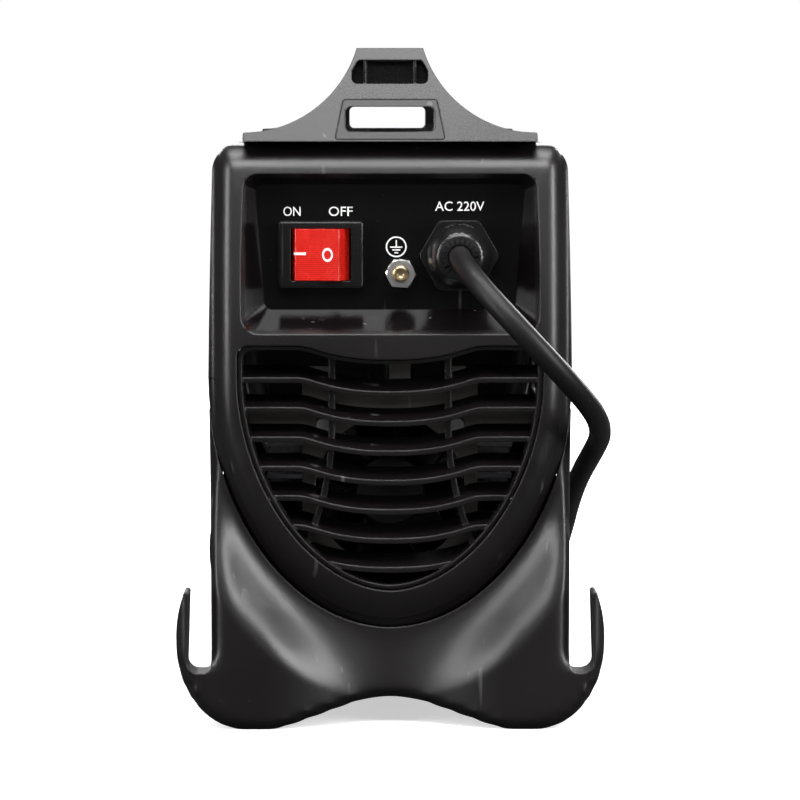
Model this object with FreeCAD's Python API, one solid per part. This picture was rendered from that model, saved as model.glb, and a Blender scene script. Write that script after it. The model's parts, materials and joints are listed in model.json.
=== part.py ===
import FreeCAD, Part
import math
import os
from FreeCAD import Vector

# A compact stick welding inverter, in millimetres. +Z is up, the mains (rear) side faces -Y,
# the control side faces +Y, and the origin is at the middle of the underside.

os.makedirs("parts", exist_ok=True)

# ---------------------------------------------------------------- driving dimensions
LENGTH_HALF = 150.0          # the casing reaches this far towards the front and the rear
WALL = 2.8                   # moulded walls
GAP = 0.3                    # clearance between separate mouldings

PANEL_HALF = 67.3            # half width of the end panels
PANEL_TOP = 217.0
PANEL_CORNER = 11.0
PANEL_TOP_HALF = 66.0        # half width where the top corners begin
RIM_END = 104.0              # the rims of both end mouldings run back to here
BOWL_TOP = 130.0             # the panel's sides turn into its round lower edge here
BOWL_DEPTH = 93.4
BOWL_POWER = 1.95
CREST = 147.2                # the end face stands out furthest at the crest's height
CREST_HEIGHT = 132.0
BEVEL_START = 58.0
BEVEL_DROP = 7.5
STEP_WIDTH = 3.3             # the sunk border along the round lower edge
STEP_DROP = 1.4

POCKET_FLOOR = 128.0
POCKET_LOW = 154.9
POCKET_HIGH = 201.4
POCKET_HALF_LOW = 46.5
POCKET_HALF_HIGH = 50.0
POCKET_DRAFT = 0.44          # sideways travel of the pocket's walls for each mm of depth

VENT_HALF = 56.5
VENT_TOP = 142.5
VENT_DIP = 5.2               # the vent's edges and blades all dip in the middle by this
DIP_HALF = 31.5              # the dip is an arch of this half width, with soft shoulders
DIP_POWER = 2.4
DIP_SOFT = 0.09
VENT_DEPTH = 79.3
VENT_POWER = 1.85
BLADES = 7
BLADE_FIRST = 130.3
BLADE_PITCH = 11.0
BLADE_THICK = 2.0
BLADE_LONG = 12.0
BLADE_RISE = 3.9

LOBE_X = 50.0                # the feet's lowest places
LOBE_FLAT = 4.0
LOBE_HEIGHT = 32.0
HOOK_OUT = 79.2
HOOK_TIP = 51.4
HOOK_FLOOR = 21.4
HOOK_SLOT_IN = 66.2
HOOK_SLOT_OUT = 75.2
HOOK_LONG = 16.0
SKIRT_TOP = 118.0
SKIRT_FLARE = 0.30
VALLEY_HALF = 47.0           # between the feet the skirt's face stands back in a soft valley
VALLEY_DEEP = 13.5
FOOT_ROUND = 5.0             # the skirt's lower front edge is rounded under
SIDE_ROUND = 8.0
ARCH = 55.0                  # the arch between the feet
FOOT_IN = 28.0               # the inner side of each foot

COVER_HALF = 62.9
COVER_TOP = 214.0
COVER_END = 112.0
COVER_NOTCH = (92.0, 112.0)  # heights where the panels make room for the cover, behind the skirts
SHEET = 1.2
TRAY_FLOOR = 20.0

HANDLE_BASE = 217.2
HANDLE_TOP = 252.0
GRIP_HALF = 12.45
GRIP_LOW = 238.0
LEG_FOOT = 139.0
LEG_HEAD = 113.0

SWITCH_X = -25.7
SWITCH_Z = 175.3
PIVOT_Y = -125.0
STUD_X = 3.9
STUD_Z = 168.3
GLAND_X = 25.6
GLAND_Z = 175.0
GLAND_FACE = -147.5
CORD_D = 8.2

FAN_Z = 86.0
FAN_FRONT = -93.0
FAN_SIZE = 60.0
FAN_BORE = 28.2
FAN_DEEP = 25.0
FAN_HUB = 13.5
FAN_SCREW = 25.0             # the fan's screws sit this far from its centre, both ways

SOCKET_X = 27.0
SOCKET_Z = 90.0
SOCKET_BORE = 4.55
KNOB_X = -24.0
KNOB_Z = 178.0

UP = Vector(0, 0, 1)
ALONG = Vector(0, 1, 0)
ACROSS = Vector(1, 0, 0)
CENTRE = Vector(0, 0, 0)


# ---------------------------------------------------------------- helpers
def save(name, *shapes):
    """Write one node: the solids of all the shapes given."""
    solids = [solid for shape in shapes for solid in shape.Solids]
    whole = solids[0] if len(solids) == 1 else Part.makeCompound(solids)
    whole.exportStep("parts/" + name + ".step")
    volume = sum(solid.Volume for solid in solids) / 1000
    valid = all(solid.isValid() for solid in solids)
    print(f"{name}: {len(solids)} solids, {volume:.1f} cm3", "" if valid else "NOT VALID")


def block(x, y, z):
    """A box between two places on each axis."""
    return Part.makeBox(x[1] - x[0], y[1] - y[0], z[1] - z[0], Vector(x[0], y[0], z[0]))


def rod_along(radius, x, z, y_from, y_to):
    return Part.makeCylinder(radius, y_to - y_from, Vector(x, y_from, z), ALONG)


def rod_up(radius, x, y, z_from, z_to):
    return Part.makeCylinder(radius, z_to - z_from, Vector(x, y, z_from), UP)


def turned(shape):
    """The same shape at the other end of the machine."""
    twin = shape.copy()
    twin.rotate(CENTRE, UP, 180)
    return twin


def rounded_wire(corners, y=0.0):
    """A closed wire in a plane across Y. Each corner is (x, z, radius)."""
    points = [Vector(x, y, z) for x, z, radius in corners]
    joins = []
    for index, (x, z, radius) in enumerate(corners):
        here = points[index]
        before = (points[index - 1] - here).normalize()
        after = (points[(index + 1) % len(points)] - here).normalize()
        if radius == 0:
            joins.append((here, None, here))
            continue
        half = before.getAngle(after) / 2
        inward = (before + after).normalize()
        centre = here + inward * (radius / math.sin(half))
        reach = radius / math.tan(half)
        joins.append((here + before * reach, centre - inward * radius, here + after * reach))
    edges = []
    for index, (start, middle, end) in enumerate(joins):
        if middle:
            edges.append(Part.Arc(start, middle, end).toShape())
        following = joins[(index + 1) % len(joins)][0]
        if end.distanceToPoint(following) > 0.001:
            edges.append(Part.makeLine(end, following))
    return Part.Wire(edges)


def rounded_plate(corners, y_from, y_to):
    face = Part.Face(rounded_wire(corners, y_from))
    return face.extrude(Vector(0, y_to - y_from, 0))


def rectangle(x, z, radius):
    """The four corners of a rounded rectangle, for rounded_wire."""
    return [(x[0], z[0], radius), (x[1], z[0], radius), (x[1], z[1], radius), (x[0], z[1], radius)]


def hexagon(flats, x, z, y_from, y_to):
    reach = flats / math.sqrt(3)
    corners = []
    for step in range(6):
        turn = math.radians(60 * step)
        corners.append((x + reach * math.cos(turn), z + reach * math.sin(turn), 0))
    return rounded_plate(corners, y_from, y_to)


def smooth_edge(points):
    curve = Part.BSplineCurve()
    curve.interpolate(points)
    return curve.toShape()


def closed_wire(edges):
    return Part.Wire(Part.__sortEdges__(edges))


def mirrored(shape):
    return shape.mirror(CENTRE, ACROSS)


def ease(value):
    """Runs from 0 to 1 with level ends."""
    value = max(0.0, min(1.0, value))
    return value * value * (3 - 2 * value)


# ---------------------------------------------------------------- the end face, shared by both ends
def bowl_reach(x, z):
    """1 on the panel's round lower edge, less inside it and more outside it."""
    down = max(0.0, BOWL_TOP - z) / BOWL_DEPTH
    return ((abs(x) / PANEL_HALF) ** BOWL_POWER + down ** BOWL_POWER) ** (1 / BOWL_POWER)


def rounding(distance, radius):
    """How far a rounded edge has fallen back at this distance inside it."""
    inside = max(0.0, min(radius, radius - distance))
    return radius - math.sqrt(radius ** 2 - inside ** 2)


def panel_depth(x, z):
    """How far the panel's face stands from the middle of the machine."""
    lean = 0.00186 if z > CREST_HEIGHT else 0.00107
    plateau = CREST - lean * (z - CREST_HEIGHT) ** 2
    edge = BEVEL_START / PANEL_HALF
    across = max(0.0, (bowl_reach(x, z) - edge) / (1 - edge))
    share = 0.47 + 0.53 * min(1.0, abs(x) / PANEL_HALF)
    return plateau - BEVEL_DROP * share * across ** 1.5 - rounding(PANEL_TOP - z, 10.0)


def foot_height(x):
    """The height of the skirt's lower outline: an arch, a slope and a foot."""
    x = abs(x)
    start = LOBE_X + LOBE_FLAT
    slope = math.atan(0.3)
    foot_x = LOBE_X - LOBE_FLAT - FOOT_IN * math.sin(slope)
    arch_x = ARCH * math.sin(slope)
    if x > start:
        share = min(1.0, (x - start) / (HOOK_OUT - start))
        return LOBE_HEIGHT * (1 - math.sqrt(1 - share ** 2))
    if x > LOBE_X - LOBE_FLAT:
        return 0.0
    if x > foot_x:
        return FOOT_IN - math.sqrt(FOOT_IN ** 2 - (LOBE_X - LOBE_FLAT - x) ** 2)
    foot_z = FOOT_IN * (1 - math.cos(slope))
    if x > arch_x:
        return foot_z + 0.3 * (foot_x - x)
    low = foot_z + 0.3 * (foot_x - arch_x) - ARCH * math.cos(slope)
    return low + math.sqrt(ARCH ** 2 - x ** 2)


def foot_distance(x, z):
    """About how far a place is inside the skirt's lower outline."""
    start = LOBE_X + LOBE_FLAT
    if abs(x) <= start:
        return z - foot_height(x)
    if z > LOBE_HEIGHT:
        return HOOK_OUT - abs(x)
    across = (abs(x) - start) / (HOOK_OUT - start)
    down = (LOBE_HEIGHT - z) / LOBE_HEIGHT
    return (1 - math.hypot(across, down)) * (HOOK_OUT - start)


def skirt_depth(x, z):
    """How far the skirt's face stands out: it flares from the panel's edge to the feet."""
    reach = max(1.0, bowl_reach(x, z))
    down = min(1.0, max(0.0, BOWL_TOP - z) / reach / BOWL_DEPTH)
    start = 139.6 - 5.6 * down ** 2
    lip = LENGTH_HALF - VALLEY_DEEP * (1 - ease(abs(x) / VALLEY_HALF))
    flared = start + (lip - start) * ease((reach - 1) / SKIRT_FLARE)
    lower = rounding(foot_distance(x, z), FOOT_ROUND)
    above_slot = ease((z - HOOK_FLOOR) / 10)
    beside_slot = ease((74.5 - abs(x)) / 6)
    side = rounding(HOOK_SLOT_IN + 1.2 - abs(x), SIDE_ROUND)
    return flared - max(lower, side * above_slot * beside_slot)


def face_block(depth, xs, zs, sink, thick):
    """A block between the end face, sunk by a distance, and the same face further in."""
    grid = [[Vector(x, sink - depth(x, z), z) for z in zs] for x in xs]
    surface = Part.BSplineSurface()
    surface.interpolate(grid)
    return surface.toShape().extrude(Vector(0, thick, 0))


def spread(low, high, step):
    count = round((high - low) / step)
    return [low + (high - low) * index / count for index in range(count + 1)]


def panel_block(sink, thick):
    rows = spread(30, 200, 5) + spread(202, 219, 1.7)
    return face_block(panel_depth, spread(-70, 70, 4), rows, sink, thick)


def bowl_edge(half, depth, power, y):
    points = []
    for step in range(25):
        turn = math.pi * step / 24
        across = math.copysign(abs(math.cos(turn)) ** (2 / power), math.cos(turn))
        down = abs(math.sin(turn)) ** (2 / power)
        points.append(Vector(half * across, y, BOWL_TOP - depth * down))
    points[0] = Vector(half, y, BOWL_TOP)
    points[-1] = Vector(-half, y, BOWL_TOP)
    return smooth_edge(points)


def panel_outline(inset, y_from, y_to):
    """The panel's outline as a block, inset by a distance."""
    half = PANEL_HALF - inset
    shoulder = PANEL_TOP_HALF - inset
    top = PANEL_TOP - inset
    radius = PANEL_CORNER - inset
    side = top - radius
    diagonal = radius * math.sqrt(0.5)
    corner = Part.Arc(
        Vector(shoulder - radius, y_from, top),
        Vector(shoulder - radius + diagonal, y_from, side + diagonal),
        Vector(shoulder, y_from, side),
    ).toShape()
    right = [corner, Part.makeLine(Vector(shoulder, y_from, side), Vector(half, y_from, BOWL_TOP))]
    left = [mirrored(edge) for edge in right]
    across = Part.makeLine(Vector(radius - shoulder, y_from, top), Vector(shoulder - radius, y_from, top))
    lower = bowl_edge(half, BOWL_DEPTH - inset, BOWL_POWER, y_from)
    wire = closed_wire([across, lower] + right + left)
    return Part.Face(wire).extrude(Vector(0, y_to - y_from, 0))


def vent_dip(x):
    """The dip in the middle of the vent's top edge and of every blade."""
    arch = 1 - (abs(x) / DIP_HALF) ** DIP_POWER
    return VENT_DIP * DIP_SOFT * math.log(1 + math.exp(arch / DIP_SOFT))


def vent_outline(inset, y_from, y_to):
    half = VENT_HALF - inset
    top = VENT_TOP - inset
    corner = 4.0
    points = [Vector(x, y_from, top - vent_dip(x)) for x in spread(corner - half, half - corner, 4.5)]
    bend = Part.Arc(
        Vector(half - corner, y_from, top),
        Vector(half - 0.3 * corner, y_from, top - 0.3 * corner),
        Vector(half, y_from, top - corner),
    ).toShape()
    right = [bend, Part.makeLine(Vector(half, y_from, top - corner), Vector(half, y_from, BOWL_TOP))]
    left = [mirrored(edge) for edge in right]
    lower = bowl_edge(half, VENT_DEPTH - inset, VENT_POWER, y_from)
    wire = closed_wire([smooth_edge(points), lower] + right + left)
    return Part.Face(wire).extrude(Vector(0, y_to - y_from, 0))


def pocket_corners(y, grow):
    """The pocket's rounded outline at a depth, grown by a distance."""
    out = POCKET_DRAFT * (-y - POCKET_FLOOR) + grow
    radius = 3.0 + 0.2 * (-y - POCKET_FLOOR) + max(0.0, grow)
    low = POCKET_LOW - out
    high = POCKET_HIGH + out
    return [
        (-POCKET_HALF_LOW - out, low, radius),
        (POCKET_HALF_LOW + out, low, radius),
        (POCKET_HALF_HIGH + out, high, radius),
        (-POCKET_HALF_HIGH - out, high, radius),
    ]


def pocket_space(grow, y_back):
    wires = [rounded_wire(pocket_corners(y, grow), y) for y in (y_back, -152.0)]
    return Part.makeLoft(wires, True, True)


def end_panel():
    """The shield-shaped moulding: face, rim, sunk pocket and vent opening."""
    outer = panel_block(0, 60).common(panel_outline(0, -155, -RIM_END))
    inner = panel_block(WALL, 70).common(panel_outline(WALL, -155, -RIM_END + 5))
    shell = outer.cut(inner)
    border = panel_block(-5, 5 + STEP_DROP)
    ring = panel_outline(-1, -155, -120).cut(panel_outline(STEP_WIDTH, -156, -119))
    ring = ring.common(block((-80, 80), (-156, -100), (0, BOWL_TOP)))
    shell = shell.cut(border.common(ring))
    tub = pocket_space(2.4, -POCKET_FLOOR).common(outer)
    shell = shell.fuse(tub).cut(pocket_space(0, -POCKET_FLOOR))
    shell = shell.cut(block((-60, 60), (-POCKET_FLOOR, -RIM_END + 1), (150, 208)))
    for x, y in handle_screw_places():
        shell = shell.cut(rod_up(1.8, x, y, PANEL_TOP - WALL - 1, PANEL_TOP + 1))
    for side in (-1, 1):
        beside = sorted((side * (COVER_HALF - SHEET - 0.2), side * (PANEL_HALF + 1)))
        shell = shell.cut(block(beside, (-COVER_END - 0.3, -RIM_END + 1), COVER_NOTCH))
    return shell.cut(vent_outline(0, -155, -120))


# ---------------------------------------------------------------- skirt with feet and hooks
def arc_edge(start, middle, end):
    return Part.Arc(*[Vector(x, 0, z) for x, z in (start, middle, end)]).toShape()


def line_edge(start, end):
    return Part.makeLine(Vector(start[0], 0, start[1]), Vector(end[0], 0, end[1]))


def foot_edges(inset=0.0):
    """The right half of the lower edge, from the middle arch to the foot's flat place."""
    slope = math.atan(0.3)
    flat_in = LOBE_X - LOBE_FLAT
    arch_low = foot_height(0) - ARCH

    def on_arch(angle):
        return ((ARCH + inset) * math.sin(angle), arch_low + (ARCH + inset) * math.cos(angle))

    def on_foot(angle):
        return (flat_in - (FOOT_IN - inset) * math.sin(angle), FOOT_IN - (FOOT_IN - inset) * math.cos(angle))

    return [
        arc_edge(on_arch(0), on_arch(slope / 2), on_arch(slope)),
        line_edge(on_arch(slope), on_foot(slope)),
        arc_edge(on_foot(slope), on_foot(slope / 2), (flat_in, inset)),
        line_edge((flat_in, inset), (LOBE_X + LOBE_FLAT, inset)),
    ]


def lobe_edge():
    """From the foot's flat place, round the outside of the lobe, up to the hook."""
    start = LOBE_X + LOBE_FLAT
    points = []
    for step in range(9):
        turn = math.pi / 2 * step / 8
        x = start + (HOOK_OUT - start) * math.sin(turn)
        points.append(Vector(x, 0, LOBE_HEIGHT * (1 - math.cos(turn))))
    return smooth_edge(points)


def hook_edges():
    """The right hook: up its outside, over the tip, and down into the slot."""
    return [
        arc_edge((HOOK_OUT, LOBE_HEIGHT), (78.5, 43), (76.6, HOOK_TIP - 1.2)),
        arc_edge((76.6, HOOK_TIP - 1.2), (75.3, HOOK_TIP), (74.4, HOOK_TIP - 1.6)),
        line_edge((74.4, HOOK_TIP - 1.6), (HOOK_SLOT_OUT, HOOK_FLOOR + 4)),
        arc_edge((HOOK_SLOT_OUT, HOOK_FLOOR + 4), (74.0, HOOK_FLOOR + 1.2), (71.2, HOOK_FLOOR)),
        line_edge((71.2, HOOK_FLOOR), (69.0, HOOK_FLOOR)),
        arc_edge((69.0, HOOK_FLOOR), (67.0, HOOK_FLOOR + 0.8), (HOOK_SLOT_IN, HOOK_FLOOR + 2.8)),
    ]


def skirt_profile():
    side = [
        line_edge((HOOK_SLOT_IN, HOOK_FLOOR + 2.8), (HOOK_SLOT_IN + 0.2, 60)),
        line_edge((HOOK_SLOT_IN + 0.2, 60), (PANEL_HALF, SKIRT_TOP)),
    ]
    right = foot_edges() + [lobe_edge()] + hook_edges() + side
    return right, line_edge((-PANEL_HALF, SKIRT_TOP), (PANEL_HALF, SKIRT_TOP))


def hollow_profile():
    """The outline of the space inside the skirt, one wall in from its outline."""
    side = HOOK_SLOT_IN - WALL
    out = LOBE_X + LOBE_FLAT
    rise = 12.0
    right = foot_edges(WALL) + [
        arc_edge((out, WALL), (out + 0.72 * (side - out), WALL + 0.3 * rise), (side, WALL + rise)),
        line_edge((side, WALL + rise), (side, SKIRT_TOP + 3)),
    ]
    return right, line_edge((-side, SKIRT_TOP + 3), (side, SKIRT_TOP + 3))


def profile_block(profile, y_from, y_to):
    """A block across Y from the right half of an outline, mirrored, and its top edge."""
    right, top = profile
    wire = closed_wire(right + [mirrored(edge) for edge in right] + [top])
    wire.translate(Vector(0, y_from, 0))
    return Part.Face(wire).extrude(Vector(0, y_to - y_from, 0))


def skirt_block(sink, thick):
    rows = spread(-4, 44, 2.4) + spread(48, 124, 4.5)
    return face_block(skirt_depth, spread(-84, 84, 2.8), rows, sink, thick)


def end_skirt():
    """The flared lower moulding: a shell with feet, and a hook on each side."""
    whole = profile_block(skirt_profile(), -156, -RIM_END).common(skirt_block(0, 70))
    for side in (-1, 1):
        behind = sorted((side * PANEL_HALF, side * 90))
        whole = whole.cut(block(behind, (HOOK_LONG - LENGTH_HALF, -90), (-5, 70)))
    hollow = profile_block(hollow_profile(), -156, 4 - RIM_END).common(skirt_block(WALL, 90))
    return whole.cut(hollow).cut(panel_outline(-GAP, -157, -100))


# ---------------------------------------------------------------- rear grille
def grille_blade(index):
    top = BLADE_FIRST - BLADE_PITCH * index
    front = 6.0 - panel_depth(0, top)
    upper = [Vector(x, front, top - vent_dip(x)) for x in spread(-57, 57, 3)]
    lower = [point - Vector(0, 0, BLADE_THICK) for point in upper]
    edges = [
        smooth_edge(upper),
        smooth_edge(lower),
        Part.makeLine(upper[0], lower[0]),
        Part.makeLine(upper[-1], lower[-1]),
    ]
    return Part.Face(closed_wire(edges)).extrude(Vector(0, BLADE_LONG, BLADE_RISE))


def grille_rib(side):
    """An upright rib that flares outwards towards its foot."""
    middle = []
    for z in spread(48, 144, 8):
        middle.append((side * (21.6 + 0.0047 * max(0.0, 112 - z) ** 2), z))
    half = 1.2
    inner = [Vector(x - half, -134.5, z) for x, z in middle]
    outer = [Vector(x + half, -134.5, z) for x, z in middle]
    edges = [
        smooth_edge(inner),
        smooth_edge(outer),
        Part.makeLine(inner[0], outer[0]),
        Part.makeLine(inner[-1], outer[-1]),
    ]
    return Part.Face(closed_wire(edges)).extrude(Vector(0, 9, 0))


def rear_grille():
    frame = vent_outline(GAP, -150, -123).cut(vent_outline(GAP + 1.6, -151, -122))
    frame = frame.common(panel_block(3.2, 20)).common(block((-60, 60), (-150, -125.5), (40, 150)))
    inside = vent_outline(GAP + 0.5, -150, -120)
    pieces = [grille_blade(index).common(inside) for index in range(BLADES)]
    pieces += [grille_rib(side).common(inside) for side in (-1, 1)]
    return frame.fuse(pieces)


# ---------------------------------------------------------------- plates in the pockets
def pocket_plate():
    """The gloss plate behind a pocket, with no holes yet."""
    corners = rectangle((-53, 53), (151.5, 205), 3)
    return rounded_plate(corners, -POCKET_FLOOR + 0.1, -POCKET_FLOOR + 2.6)


def rear_terminal_plate():
    plate = pocket_plate()
    hole = rectangle((SWITCH_X - 13.7, SWITCH_X + 13.7), (SWITCH_Z - 11.2, SWITCH_Z + 11.2), 1)
    plate = plate.cut(rounded_plate(hole, -130, -120))
    plate = plate.cut(rod_along(3.1, STUD_X, STUD_Z, -130, -120))
    return plate.cut(rod_along(10.2, GLAND_X, GLAND_Z, -130, -120))


def front_control_plate():
    plate = pocket_plate()
    plate = plate.cut(rod_along(4.7, -KNOB_X, KNOB_Z, -130, -120))
    plate = plate.cut(rounded_plate(rectangle((-31.2, -4.8), (179.8, 194.2), 1), -130, -120))
    for x in (-26, -10):
        plate = plate.cut(rod_along(2.6, x, 167, -130, -120))
    return turned(plate)


def front_socket_plate():
    """The plate in the front opening: socket holes and three blind grooves above them."""
    plate = vent_outline(GAP, -137, -134)
    for side in (-1, 1):
        plate = plate.cut(rod_along(11.2, side * SOCKET_X, SOCKET_Z, -140, -130))
    for row in range(3):
        z = 127 - 6 * row
        groove = rounded_plate(rectangle((-38, 38), (z - 1.6, z + 1.6), 1.5), -140, -135.6)
        plate = plate.cut(groove)
    return turned(plate)


# ---------------------------------------------------------------- steel cover and tray
def cover_profile(inset, y_from, y_to, low):
    half = COVER_HALF - inset
    corners = [(-half, low, 0), (half, low, 0), (half, COVER_TOP - inset, 9 - inset),
               (-half, COVER_TOP - inset, 9 - inset)]
    return rounded_plate(corners, y_from, y_to)


def top_cover():
    cover = cover_profile(0, -COVER_END, COVER_END, 24)
    cover = cover.cut(cover_profile(SHEET, -COVER_END - 1, COVER_END + 1, 20))
    for row in range(9):
        for y in (-52, 52):
            z = 92 + 9 * row
            slot = Part.makeBox(140, 56, 3.2, Vector(-70, y - 28, z))
            cover = cover.cut(slot)
    for side in (-1, 1):
        for y in (-84, 0, 84):
            hole = Part.makeCylinder(2.1, 10, Vector(side * (COVER_HALF - 5), y, 34), ACROSS * side)
            cover = cover.cut(hole)
    return cover


def base_tray():
    half = COVER_HALF - SHEET - 0.05
    tray = block((-half, half), (-111, 111), (TRAY_FLOOR, 46))
    inside = block((SHEET - half, half - SHEET), (SHEET - 111, 111 - SHEET), (TRAY_FLOOR + SHEET, 50))
    tray = tray.cut(inside)
    tray = tray.cut(block((-50, 50), (-120, 120), (30, 50)))
    for side in (-1, 1):
        for y in (-84, 0, 84):
            hole = Part.makeCylinder(1.7, 10, Vector(side * (half - 5), y, 34), ACROSS * side)
            tray = tray.cut(hole)
    for x, y in skirt_screw_places():
        tray = tray.cut(rod_up(1.9, x, y, TRAY_FLOOR - 1, TRAY_FLOOR + 3))
    return tray


def skirt_screw_places():
    return [(x, y) for x in (-40, 40) for y in (-107, 107)]


def pan_screw(radius, shank, length, place, direction):
    """A pan-head screw: the head's underside is at the place, the head points along direction."""
    head = Part.makeCylinder(radius, 0.55 * radius, place, direction)
    head = head.makeFillet(0.3 * radius, [head.Edges[0]])
    stem = Part.makeCylinder(shank, length, place - direction * length, direction)
    recess = Part.makeBox(0.35 * radius, 1.3 * radius, 3, Vector(-0.175 * radius, -0.65 * radius, 0))
    cross = recess.fuse(recess.copy().rotate(CENTRE, UP, 90))
    turn = FreeCAD.Rotation(UP, direction)
    cross.Placement = FreeCAD.Placement(place + direction * (0.28 * radius), turn)
    return head.fuse(stem).cut(cross)


def cover_screws():
    screws = []
    for side in (-1, 1):
        for y in (-84, 0, 84):
            place = Vector(side * COVER_HALF, y, 34)
            screws.append(pan_screw(3.8, 1.65, 6, place, ACROSS * side))
    return screws


def skirt_screws():
    return [pan_screw(3.4, 1.6, 4, Vector(x, y, TRAY_FLOOR), UP * -1) for x, y in skirt_screw_places()]


# ---------------------------------------------------------------- handle
def leg_outline():
    """The right half's concave flare, mirrored: wide foot, narrow grip."""
    flare = arc_edge((54.2, 220.5), (27.6, 229.6), (GRIP_HALF, HANDLE_TOP))
    right = [
        line_edge((54.4, HANDLE_BASE), (54.4, 219.6)),
        line_edge((54.4, 219.6), (54.2, 220.5)),
        flare,
    ]
    left = [mirrored(edge) for edge in right]
    foot = line_edge((-54.4, HANDLE_BASE), (54.4, HANDLE_BASE))
    head = line_edge((-GRIP_HALF, HANDLE_TOP), (GRIP_HALF, HANDLE_TOP))
    return Part.Face(closed_wire(right + left + [foot, head]))


def side_prism(points, half):
    """A block whose outline lies across X: each point is (y, z)."""
    corners = [Vector(-half, y, z) for y, z in points]
    face = Part.Face(Part.makePolygon(corners + corners[:1]))
    return face.extrude(Vector(2 * half, 0, 0))


def lean(z):
    """The y of the leg's leaning outer face at a height."""
    share = (z - HANDLE_BASE) / (HANDLE_TOP - HANDLE_BASE)
    return -LEG_FOOT + (LEG_FOOT - LEG_HEAD) * share


def slot_space():
    return rounded_plate(rectangle((-16.6, 16.6), (220.8, 230.0), 2.0), -160, 160)


def strap_recess(grow):
    corners = [(-20.3 - grow, 218.0 - grow, 1), (20.3 + grow, 218.0 - grow, 1),
               (17.3 + grow, 232.6 + grow, 1), (-17.3 - grow, 232.6 + grow, 1)]
    plate = rounded_plate(corners, -160, -100)
    deep = 3.2 + grow
    slab = [(lean(216), 216), (lean(235), 235), (lean(235) + deep, 235), (lean(216) + deep, 216)]
    return plate.common(side_prism(slab, 30))


def handle_leg():
    outline = leg_outline()
    outline.translate(Vector(0, -145, 0))
    profile = [(lean(HANDLE_BASE), HANDLE_BASE), (lean(HANDLE_TOP), HANDLE_TOP), (-92, HANDLE_TOP),
               (-92, GRIP_LOW), (-98, 234), (-107, 222), (-108, HANDLE_BASE)]
    leg = outline.extrude(Vector(0, 60, 0)).common(side_prism(profile, 60))
    pocket = [(-14.2, 238.6, 2.0), (14.2, 238.6, 2.0), (14.2, 243.3, 1.4), (12.0, 247.4, 1.4),
              (-12.0, 247.4, 1.4), (-14.2, 243.3, 1.4)]
    recess = rounded_plate(pocket, -140, -104)
    for side in (-1, 1):
        rib = block(sorted((side * 8.8, side * 10.0)), (-116, -103), (238, 248))
        recess = recess.cut(rib)
    leg = leg.cut(recess).cut(strap_recess(0.1))
    return leg


def handle():
    corners = rectangle((-GRIP_HALF, GRIP_HALF), (GRIP_LOW, HANDLE_TOP), 4.5)
    grip = rounded_plate(corners, -93, 93)
    leg = handle_leg()
    whole = grip.fuse([leg, turned(leg)]).cut(slot_space())
    for x, y in handle_screw_places():
        whole = whole.cut(rod_up(1.9, x, y, 216, 219.2))
    return whole


def handle_screw_places():
    return [(x, y) for x in (-36, 36) for y in (-120, 120)]


def handle_screws():
    seat = PANEL_TOP - WALL
    return [pan_screw(3.4, 1.6, 4.6, Vector(x, y, seat), UP * -1) for x, y in handle_screw_places()]


def strap_plate():
    return strap_recess(0).cut(slot_space())


# ---------------------------------------------------------------- mains switch
def switch_housing():
    bezel = rectangle((SWITCH_X - 15.8, SWITCH_X + 15.8), (SWITCH_Z - 12.4, SWITCH_Z + 12.4), 1.2)
    housing = rounded_plate(bezel, -131.5, -POCKET_FLOOR + 0.1)
    edges = [edge for edge in housing.Edges if edge.BoundBox.YMax < -131.4]
    housing = housing.makeFillet(0.9, edges)
    body = rectangle((SWITCH_X - 13.5, SWITCH_X + 13.5), (SWITCH_Z - 11, SWITCH_Z + 11), 0.8)
    housing = housing.fuse(rounded_plate(body, -POCKET_FLOOR + 0.1, -106))
    well = rectangle((SWITCH_X - 11.2, SWITCH_X + 11.2), (SWITCH_Z - 9.8, SWITCH_Z + 9.8), 0.5)
    housing = housing.cut(rounded_plate(well, -133, -111))
    return housing.cut(rod_up(1.26, SWITCH_X, PIVOT_Y, SWITCH_Z - 10.8, SWITCH_Z + 10.8))


def switch_rocker():
    """Symmetrical about its pivot; at rest it is tipped so that the left side is pressed in."""
    section = [(0, 7.0), (8.3, 8.5), (10.7, 0.5), (9.6, -3.0), (-9.6, -3.0), (-10.7, 0.5), (-8.3, 8.5)]
    corners = [Vector(SWITCH_X + x, PIVOT_Y - out, SWITCH_Z - 9.6) for x, out in section]
    rocker = Part.Face(Part.makePolygon(corners + corners[:1])).extrude(Vector(0, 0, 19.2))
    edges = [edge for edge in rocker.Edges if edge.BoundBox.YMax < PIVOT_Y - 8.2 and edge.Length > 15]
    rocker = rocker.makeFillet(0.6, edges)
    rocker = rocker.fuse(rod_up(1.2, SWITCH_X, PIVOT_Y, SWITCH_Z - 10.6, SWITCH_Z + 10.6))
    rocker.rotate(Vector(SWITCH_X, PIVOT_Y, SWITCH_Z), UP, -10)
    return rocker


def switch_terminals():
    blades = []
    for x in (SWITCH_X - 7, SWITCH_X + 7):
        for z in (SWITCH_Z - 6, SWITCH_Z + 6):
            blades.append(block((x - 0.4, x + 0.4), (-106, -97), (z - 3.1, z + 3.1)))
    return blades


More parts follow.
